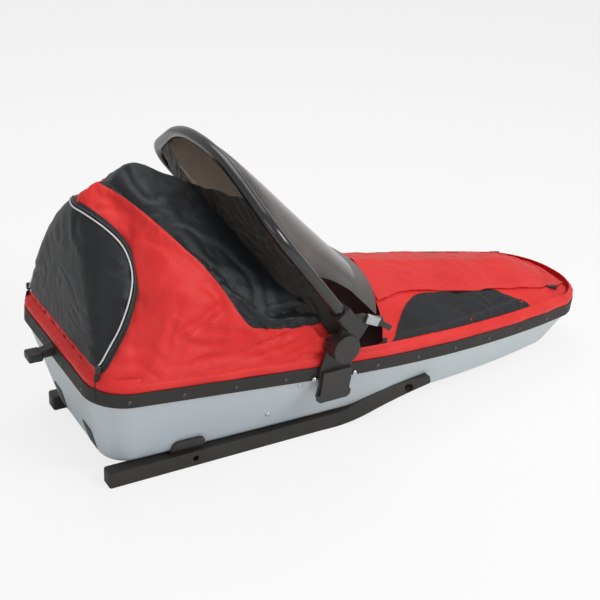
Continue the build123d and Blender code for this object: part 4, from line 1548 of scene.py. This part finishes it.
@dataclass
class SkirtHem:
    """Gathered red hem that comes up out of the edge strip all round."""

    low: float = 0.0285
    high: float = 0.0560
    puff: float = 0.0045
    inset: float = 0.0055
    top_inset: float = 0.014
    gather: float = 0.0016
    cloth: float = 0.0012
    columns: int = 720
    rows: int = 10

    def build(self) -> None:
        """Make the hem."""
        outer = RimLine(self.inset)
        full = outer.track.length * 2

        def place(across: float, along: float) -> Vector:
            """The hem's point at two shares, round the rim and up."""
            distance = full * across
            ring = Vector((math.cos(across * 2 * math.pi), math.sin(across * 2 * math.pi), 0))
            wave = noise.noise(ring * 34 + Vector((0, 0, along * 0.7)))
            slow = noise.noise(ring * 9 + Vector((3.0, 0, along * 0.4)))
            bulge = self.puff * math.sin(math.pi * (0.15 + 0.85 * along)) * (1 + 0.5 * slow)
            ruffle = self.gather * wave * math.sin(math.pi * along)
            tuck = (self.top_inset - self.inset) * smooth(0.55, 1.0, along)
            above = mix(self.low, self.high, along)
            return outer.place(distance, above, bulge + ruffle - tuck)

        hem = laid_grid("skirt_hem", self.columns, self.rows, place)
        apply(hem, "WELD", merge_threshold=0.0003)
        thicken(hem, self.cloth)
        soften(hem, 60)
        settle(hem, RED_CLOTH, SLED, "red_fabric", "skirt")
        hang(hem, "gathered", "rim_strip")


# Hardware


@dataclass
class Hardware:
    """Rivets of the edge strip and bolts of the runners and brackets."""

    rivet_radius: float = 0.0042
    rivet_rise: float = 0.0022
    rivet_pitch: float = 0.117
    rivet_share: float = 0.42       # of the strip's height
    bolt_radius: float = 0.0062
    bolt_rise: float = 0.0045
    bolts: tuple[Point2, ...] = (
        # from_stern, height
        (0.408, 0.094), (0.458, 0.178), (0.557, 0.103),
    )
    ear_bolts: tuple[Point2, ...] = ((0.482, 0.196), (0.584, 0.188))

    def dome(self, middle: Vector, axis: Vector, radius: float, rise: float) -> bpy.types.Object:
        """A domed head on its seat.

        Args:
            middle: Middle of its foot.
            axis: Direction that it stands out.
            radius: Its radius.
            rise: Its height.

        Returns:
            The mesh object.
        """
        choose()
        bpy.ops.mesh.primitive_uv_sphere_add(segments=18, ring_count=10, radius=1)
        head = bpy.context.object
        turning = axis.to_track_quat("Z", "Y").to_matrix()
        for vertex in head.data.vertices:
            high = vertex.co.z
            spot = Vector((vertex.co.x * radius, vertex.co.y * radius, max(high, -0.25) * rise))
            vertex.co = turning @ spot + middle
        soften(head, 60)
        return head

    def build(self) -> None:
        """Make the rivets and bolts."""
        rim = RimLine(0.0)
        full = rim.track.length * 2
        count = round(full / self.rivet_pitch)
        rivets = []
        for index in range(count):
            distance = full * (index + 0.5) / count
            middle = rim.place(distance, STRIP_HEIGHT * self.rivet_share)
            outside = rim.place(distance, STRIP_HEIGHT * self.rivet_share, 0.01)
            rivets.append(self.dome(middle, outside - middle, self.rivet_radius, self.rivet_rise))
        settle(joined("edge_rivets", rivets), RIVET_STEEL, SLED, "edge_rubber")
        self.side_bolts()

    def side_bolts(self) -> None:
        """Chromed bolt heads on the hull's sides, found by looking straight at the hull."""
        depsgraph = bpy.context.evaluated_depsgraph_get()
        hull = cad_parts["hull"].evaluated_get(depsgraph)
        heads = []
        for _, side in SIDES:
            for x, height in self.bolts:
                start = Vector((at(x), side * 0.6, height))
                hit, spot, normal, _ = hull.ray_cast(start, Vector((0, -side, 0)))
                if hit:
                    heads.append(self.dome(spot, normal, self.bolt_radius, self.bolt_rise))
            for x, height in self.ear_bolts:
                seat = Vector((at(x), side * (RimLine.HALF + 0.0005), height))
                outward = Vector((0, side, 0))
                heads.append(self.dome(seat, outward, self.bolt_radius, self.bolt_rise))
        settle(joined("side_bolts", heads), CHROME, SLED, "lever_metal")


@dataclass
class LeverParts:
    """Toggle levers of the windscreen: a metal link and a black grip."""

    root: Point2 = (0.588, 0.330)
    knee: Point2 = (0.617, 0.317)
    tip: Point2 = (0.648, 0.296)
    boss: Point2 = (0.625, 0.317)
    link_section: Point2 = (0.021, 0.010)       # height, width
    grip_section: Point2 = (0.013, 0.009)

    def build(self) -> None:
        """Make both levers in place of the plain ones."""
        for name, side in SIDES:
            low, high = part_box("lever_" + name)
            outside = high[1] if side > 0 else low[1]
            link = self.bar(self.root, self.knee, self.link_section, outside - side * 0.004)
            link = joined("lever_link_" + name, [link])
            settle(link, CAST_METAL, SCREEN, "lever_metal", "lever_" + name)
            grip = self.bar(self.knee, self.tip, self.grip_section, outside - side * 0.003)
            middle = Vector((at(self.boss[0]), outside - side * 0.012, self.boss[1]))
            boss = rounded_block((0.012, 0.018, 0.012), middle, 0.002)
            grip = joined("lever_grip_" + name, [grip, boss])
            settle(grip, NYLON, SCREEN, "black_plastic", "lever_" + name)

    def bar(self, start: Point2, end: Point2, section: Point2, out: float) -> bpy.types.Object:
        """A rounded bar between two places.

        Args:
            start: First place, from the stern and in height.
            end: Last place.
            section: Height and width of the bar.
            out: Its middle across the sled.

        Returns:
            The mesh object.
        """
        long = math.dist(start, end)
        turn = math.atan2(start[1] - end[1], end[0] - start[0])
        middle = Vector((at((start[0] + end[0]) / 2), out, (start[1] + end[1]) / 2))
        return rounded_block((long + 0.004, section[1], section[0]), middle, 0.0028, turn)


@dataclass
class Pane:
    """Smoky pane, with its edge let out until it lies against the hoop's tube."""

    near: float = 0.010     # places up to this far from the tube go all the way to it
    far: float = 0.035      # places from this far on stay where they are
    bite: float = 0.002     # how far the edge goes into the tube

    def build(self) -> None:
        """Make the pane."""
        pane = bpy.data.objects.new("windscreen_pane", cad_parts["pane"].data.copy())
        bpy.context.collection.objects.link(pane)
        tree = surface_tree(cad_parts["hoop"])
        for vertex in pane.data.vertices:
            found, normal, _, gap = tree.find_nearest(vertex.co)
            seat = found - normal * self.bite
            vertex.co = vertex.co.lerp(seat, 1 - smooth(self.near, self.far, gap))
        soften(pane)
        settle(pane, SMOKY, SCREEN, "smoky_pane", "pane")


@dataclass
class CockpitLining:
    """Dark lining cloth between the hood's cockpit edge and the windscreen's tube."""

    form: HoodForm = field(default_factory=HoodForm)
    hood_row: float = 0.90                      # where it is sewn inside the hood
    hood_shares: Point2 = (0.88, 0.01)          # of the arch, at the lining's foot and head
    inside: float = 0.009                       # in from the hood's form, and down
    post: tuple[Point3, ...] = (
        # from_stern, out, height of the line beside the tube that it is fixed to
        (0.548, 0.272, 0.300), (0.506, 0.276, 0.380), (0.442, 0.276, 0.460), (0.387, 0.274, 0.530),
        (0.364, 0.255, 0.565), (0.352, 0.205, 0.600),
    )

    def build(self) -> None:
        """Make the lining of both sides."""
        for name, side in SIDES:

            def place(across: float, along: float) -> Vector:
                """The lining's point at two shares, from the edge to the tube and upwards."""
                edge = self.form.point(self.hood_row, side * mix(*self.hood_shares, along))
                edge.y -= side * self.inside
                edge.z -= self.inside
                x, y, z = between(self.post, along)
                point = edge.lerp(Vector((at(x), side * y, z)), across)
                slack = math.sin(math.pi * across)
                puff = noise.noise(Vector((across * 5, along * 9, side)))
                point.y -= side * slack * (0.012 + 0.010 * puff) * (1 - 0.8 * along)
                point.z -= slack * along * (0.002 + 0.006 * puff)
                return point

            lining = laid_grid("cockpit_lining_" + name, 60, 110, place)
            fold_cloth(lining, [], everywhere, crumple=0.0020, size=0.030)
            sew(lining, 0.001, LINING, "black_fabric")
            hang(lining, "gathered", "hood_cockpit_end")


# Seat


@dataclass
class ChildSeat:
    """Seat and back cushion with sewn channels, and the belts."""

    voxel: float = 0.007
    shrink: float = 0.008
    resting: float = 0.012          # height over the pad's underside that stays put
    channel_depth: float = 0.006
    channel_width: float = 0.006
    fill: float = 0.6
    back_lean: float = 16.0         # degrees

    def cushion(self, node: str, name: str, channels: int, axis: int) -> bpy.types.Object:
        """A padded piece swollen from a copy of its plain solid.

        Args:
            node: The plain solid.
            name: The piece's name.
            channels: How many sewn channels cross it.
            axis: 0 where the channels follow one another along the sled, 2 where upwards.

        Returns:
            The piece.
        """
        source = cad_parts[node]
        pad = bpy.data.objects.new(name, source.data.copy())
        bpy.context.collection.objects.link(pad)
        choose(pad)
        bpy.ops.object.mode_set(mode="EDIT")
        bpy.ops.mesh.select_all(action="SELECT")
        bpy.ops.mesh.remove_doubles(threshold=0.0001)
        bpy.ops.object.mode_set(mode="OBJECT")
        apply(pad, "REMESH", mode="VOXEL", voxel_size=self.voxel, use_smooth_shade=True)
        apply(pad, "DISPLACE", strength=-self.shrink, mid_level=0.0)
        bottom = min(vertex.co.z for vertex in pad.data.vertices)

        def held(point: Vector) -> float:
            """Held where the pad rests."""
            return 1.0 if node == "seat_cushion" and point.z < bottom + self.resting else 0.0

        simulate(pad, held, FILLED_PAD)
        low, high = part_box(node)
        for vertex in pad.data.vertices:
            share = (vertex.co[axis] - low[axis]) / (high[axis] - low[axis])
            line = abs((share * channels + 0.5) % 1 - 0.5) / channels * (high[axis] - low[axis])
            if 0.1 < share < 0.9:
                sink = math.exp(-((line / self.channel_width) ** 2))
                vertex.co -= vertex.normal * self.channel_depth * sink
            for k in range(3):
                vertex.co[k] = min(max(vertex.co[k], low[k] + 0.0005), high[k] - 0.0005)
        apply(pad, "SUBSURF", levels=1, render_levels=1)
        soften(pad, 60)
        return pad

    def build(self) -> None:
        """Make the seat."""
        seat = self.cushion("seat_cushion", "seat_pad", 4, 0)
        settle(seat, SEAT_CLOTH, SLED, "seat_fabric", "seat_cushion")
        back = self.cushion("back_cushion", "back_pad", 5, 2)
        settle(back, SEAT_CLOTH, SLED, "seat_fabric", "back_cushion")
        self.belts()

    def belts(self) -> None:
        """Two shoulder belts, the crotch belt and the moulded buckle."""
        lean = math.radians(self.back_lean)
        up = Vector((-math.sin(lean), 0, math.cos(lean)))
        front = Vector((math.cos(lean), 0, math.sin(lean)))
        foot = Vector((at(0.345), 0, 0.052)) + front * 0.004

        def spot(out: float, high: float, proud: float) -> Vector:
            """A place on the back cushion."""
            return foot + up * high + front * proud + Vector((0, out, 0))

        straps = []
        for side in (-1, 1):
            line = [
                spot(side * mix(0.055, 0.016, k / 6), mix(0.345, 0.150, k / 6), 0.003 + 0.004 * math.sin(k))
                for k in range(7)
            ]
            straps.append(strap("shoulder", line, width=0.030, thick=0.0022, facing=front))
        crotch = [
            spot(0, 0.130, 0.010), spot(0, 0.095, 0.018), Vector((at(0.42), 0, 0.098)),
            Vector((at(0.46), 0, 0.090)),
        ]
        facing = Vector((0.6, 0, 0.8))
        straps.append(strap("crotch", crotch, width=0.030, thick=0.0022, facing=facing))
        settle(joined("seat_belts", straps), BELT, SLED, "webbing", "harness")
        buckle = rounded_block((0.012, 0.058, 0.044), spot(0, 0.140, 0.010), 0.004, -lean)
        settle(joined("belt_buckle", [buckle]), NYLON, SLED, "black_plastic", "harness")


# CAD nodes and studio


CAD_FINISHES = {
    "hull": HULL_SKIN,
    "rim_strip": EDGE_RUBBER,
    "stern_block": NYLON,
    "hoop": TUBE_COATING,
    "screen_strip": STRIP_PLASTIC,
}
PAIRED_FINISHES = {
    "stern_pad": RUNNER_PLASTIC,
    "bow_cleat": RUNNER_PLASTIC,
    "runner": RUNNER_PLASTIC,
    "runner_tab": RUNNER_PLASTIC,
    "bracket": NYLON,
    "clip": NYLON,
    "elbow": NYLON,
    "knob": NYLON,
}


def dress_frame() -> None:
    """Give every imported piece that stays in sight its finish."""
    for name, finish in CAD_FINISHES.items():
        dress(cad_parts[name], finish)
    for name, finish in PAIRED_FINISHES.items():
        for side, _ in SIDES:
            dress(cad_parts[f"{name}_{side}"], finish)


class LampKind(Enum):
    """Lamps of the studio: place, size and power."""

    KEY = ((1.4, -3.0, 2.6), 1.8, 74.0)
    FILL = ((-3.4, -1.6, 1.6), 2.2, 14.0)
    TOP = ((0.2, 1.0, 3.6), 2.4, 40.0)


@dataclass
class Studio:
    """Pale floor, even light and the camera at the photograph's angle."""

    camera_place: Point3 = (-1.32075, -2.0536, 1.4021)
    right: Point3 = (0.8645, -0.5009, 0.0436)
    up: Point3 = (0.1846, 0.3967, 0.8992)
    lens: float = 68.37
    floor_colour: str = "#F6F6F5"
    world_level: float = 0.36
    gloss_level: float = 0.55
    floor_glow: float = 0.78        # how white the floor is where it is looked at
    lamp_aim: Point3 = (0.0, 0.0, 0.25)

    def build(self) -> None:
        """Set up the floor, the light and the camera."""
        scene = bpy.context.scene
        scene.view_settings.view_transform = "Standard"
        self.world(scene)
        self.floor()
        for kind in LampKind:
            self.lamp(kind)
        self.camera(scene)

    def sight(self, tree: bpy.types.NodeTree) -> tuple[bpy.types.Node, bpy.types.NodeSocket]:
        """The kinds of ray, and 1 for those of the camera and those through glass."""
        path = add_node(tree, "LightPath")
        seen = add_node(
            tree, "Math", {"operation": "MAXIMUM"},
            {0: path.outputs["Is Camera Ray"], 1: path.outputs["Is Transmission Ray"]})
        return path, seen.outputs[0]

    def world(self, scene: bpy.types.Scene) -> None:
        """Even light, and white where the camera, gloss and glass look past everything."""
        world = bpy.data.worlds.new("studio")
        world.use_nodes = True
        tree = world.node_tree
        tree.nodes.clear()
        path, seen = self.sight(tree)
        gloss = add_node(
            tree, "MapRange", {"To Min": self.world_level, "To Max": self.gloss_level},
            {"Value": path.outputs["Is Glossy Ray"]})
        level = add_node(
            tree, "MapRange", {"To Max": 1.0},
            {"Value": seen, "To Min": gloss.outputs["Result"]})
        light = add_node(
            tree, "Background", {"Color": (1, 1, 1, 1)}, {"Strength": level.outputs["Result"]})
        add_node(tree, "OutputWorld", None, {"Surface": light.outputs[0]})
        scene.world = world

    def floor(self) -> None:
        """A wide pale floor that keeps the sled's shadow."""
        choose()
        bpy.ops.mesh.primitive_plane_add(size=24, location=(0, 0, 0))
        floor = bpy.context.object
        floor.name = "studio_floor"
        material = bpy.data.materials.new("matt_pale_floor")
        material.use_nodes = True
        tree = material.node_tree
        tree.nodes.clear()
        matt = add_node(tree, "BsdfDiffuse", {"Color": srgb(self.floor_colour)})
        glow = add_node(tree, "Emission", {"Color": (1, 1, 1, 1), "Strength": 1.0})
        _, seen = self.sight(tree)
        share = add_node(tree, "Math", {"operation": "MULTIPLY", 1: self.floor_glow}, {0: seen})
        both = add_node(
            tree, "MixShader", None, {0: share.outputs[0], 1: matt.outputs[0], 2: glow.outputs[0]})
        add_node(tree, "OutputMaterial", None, {"Surface": both.outputs[0]})
        floor.data.materials.append(material)

    def lamp(self, kind: LampKind) -> None:
        """Add one soft lamp."""
        place, size, power = kind.value
        light = bpy.data.lights.new("lamp_" + kind.name.lower(), "AREA")
        light.size = size
        light.energy = power
        obj = bpy.data.objects.new(light.name, light)
        obj.location = place
        beam = Vector(self.lamp_aim) - Vector(place)
        obj.rotation_euler = beam.to_track_quat("-Z", "Y").to_euler()
        bpy.context.collection.objects.link(obj)

    def camera(self, scene: bpy.types.Scene) -> None:
        """The camera, as it was found from the photograph."""
        camera = bpy.data.cameras.new("camera")
        camera.lens = self.lens
        camera.sensor_width = 36.0
        camera.sensor_fit = "AUTO"
        obj = bpy.data.objects.new("camera", camera)
        right, up = Vector(self.right).normalized(), Vector(self.up)
        up = (up - right * up.dot(right)).normalized()
        turning = Matrix((right, up, right.cross(up))).transposed()
        obj.matrix_world = Matrix.Translation(self.camera_place) @ turning.to_4x4()
        bpy.context.collection.objects.link(obj)
        scene.camera = obj


def main() -> None:
    """Build the looks in order."""
    logging.basicConfig(level=logging.INFO, format="%(name)s: %(message)s")
    Studio().build()
    dress_frame()
    LuggageHood().build()
    FootCover().build()
    SkirtHem().build()
    CockpitLining().build()
    Hardware().build()
    LeverParts().build()
    Pane().build()
    ChildSeat().build()


if __name__ == "__main__":
    main()
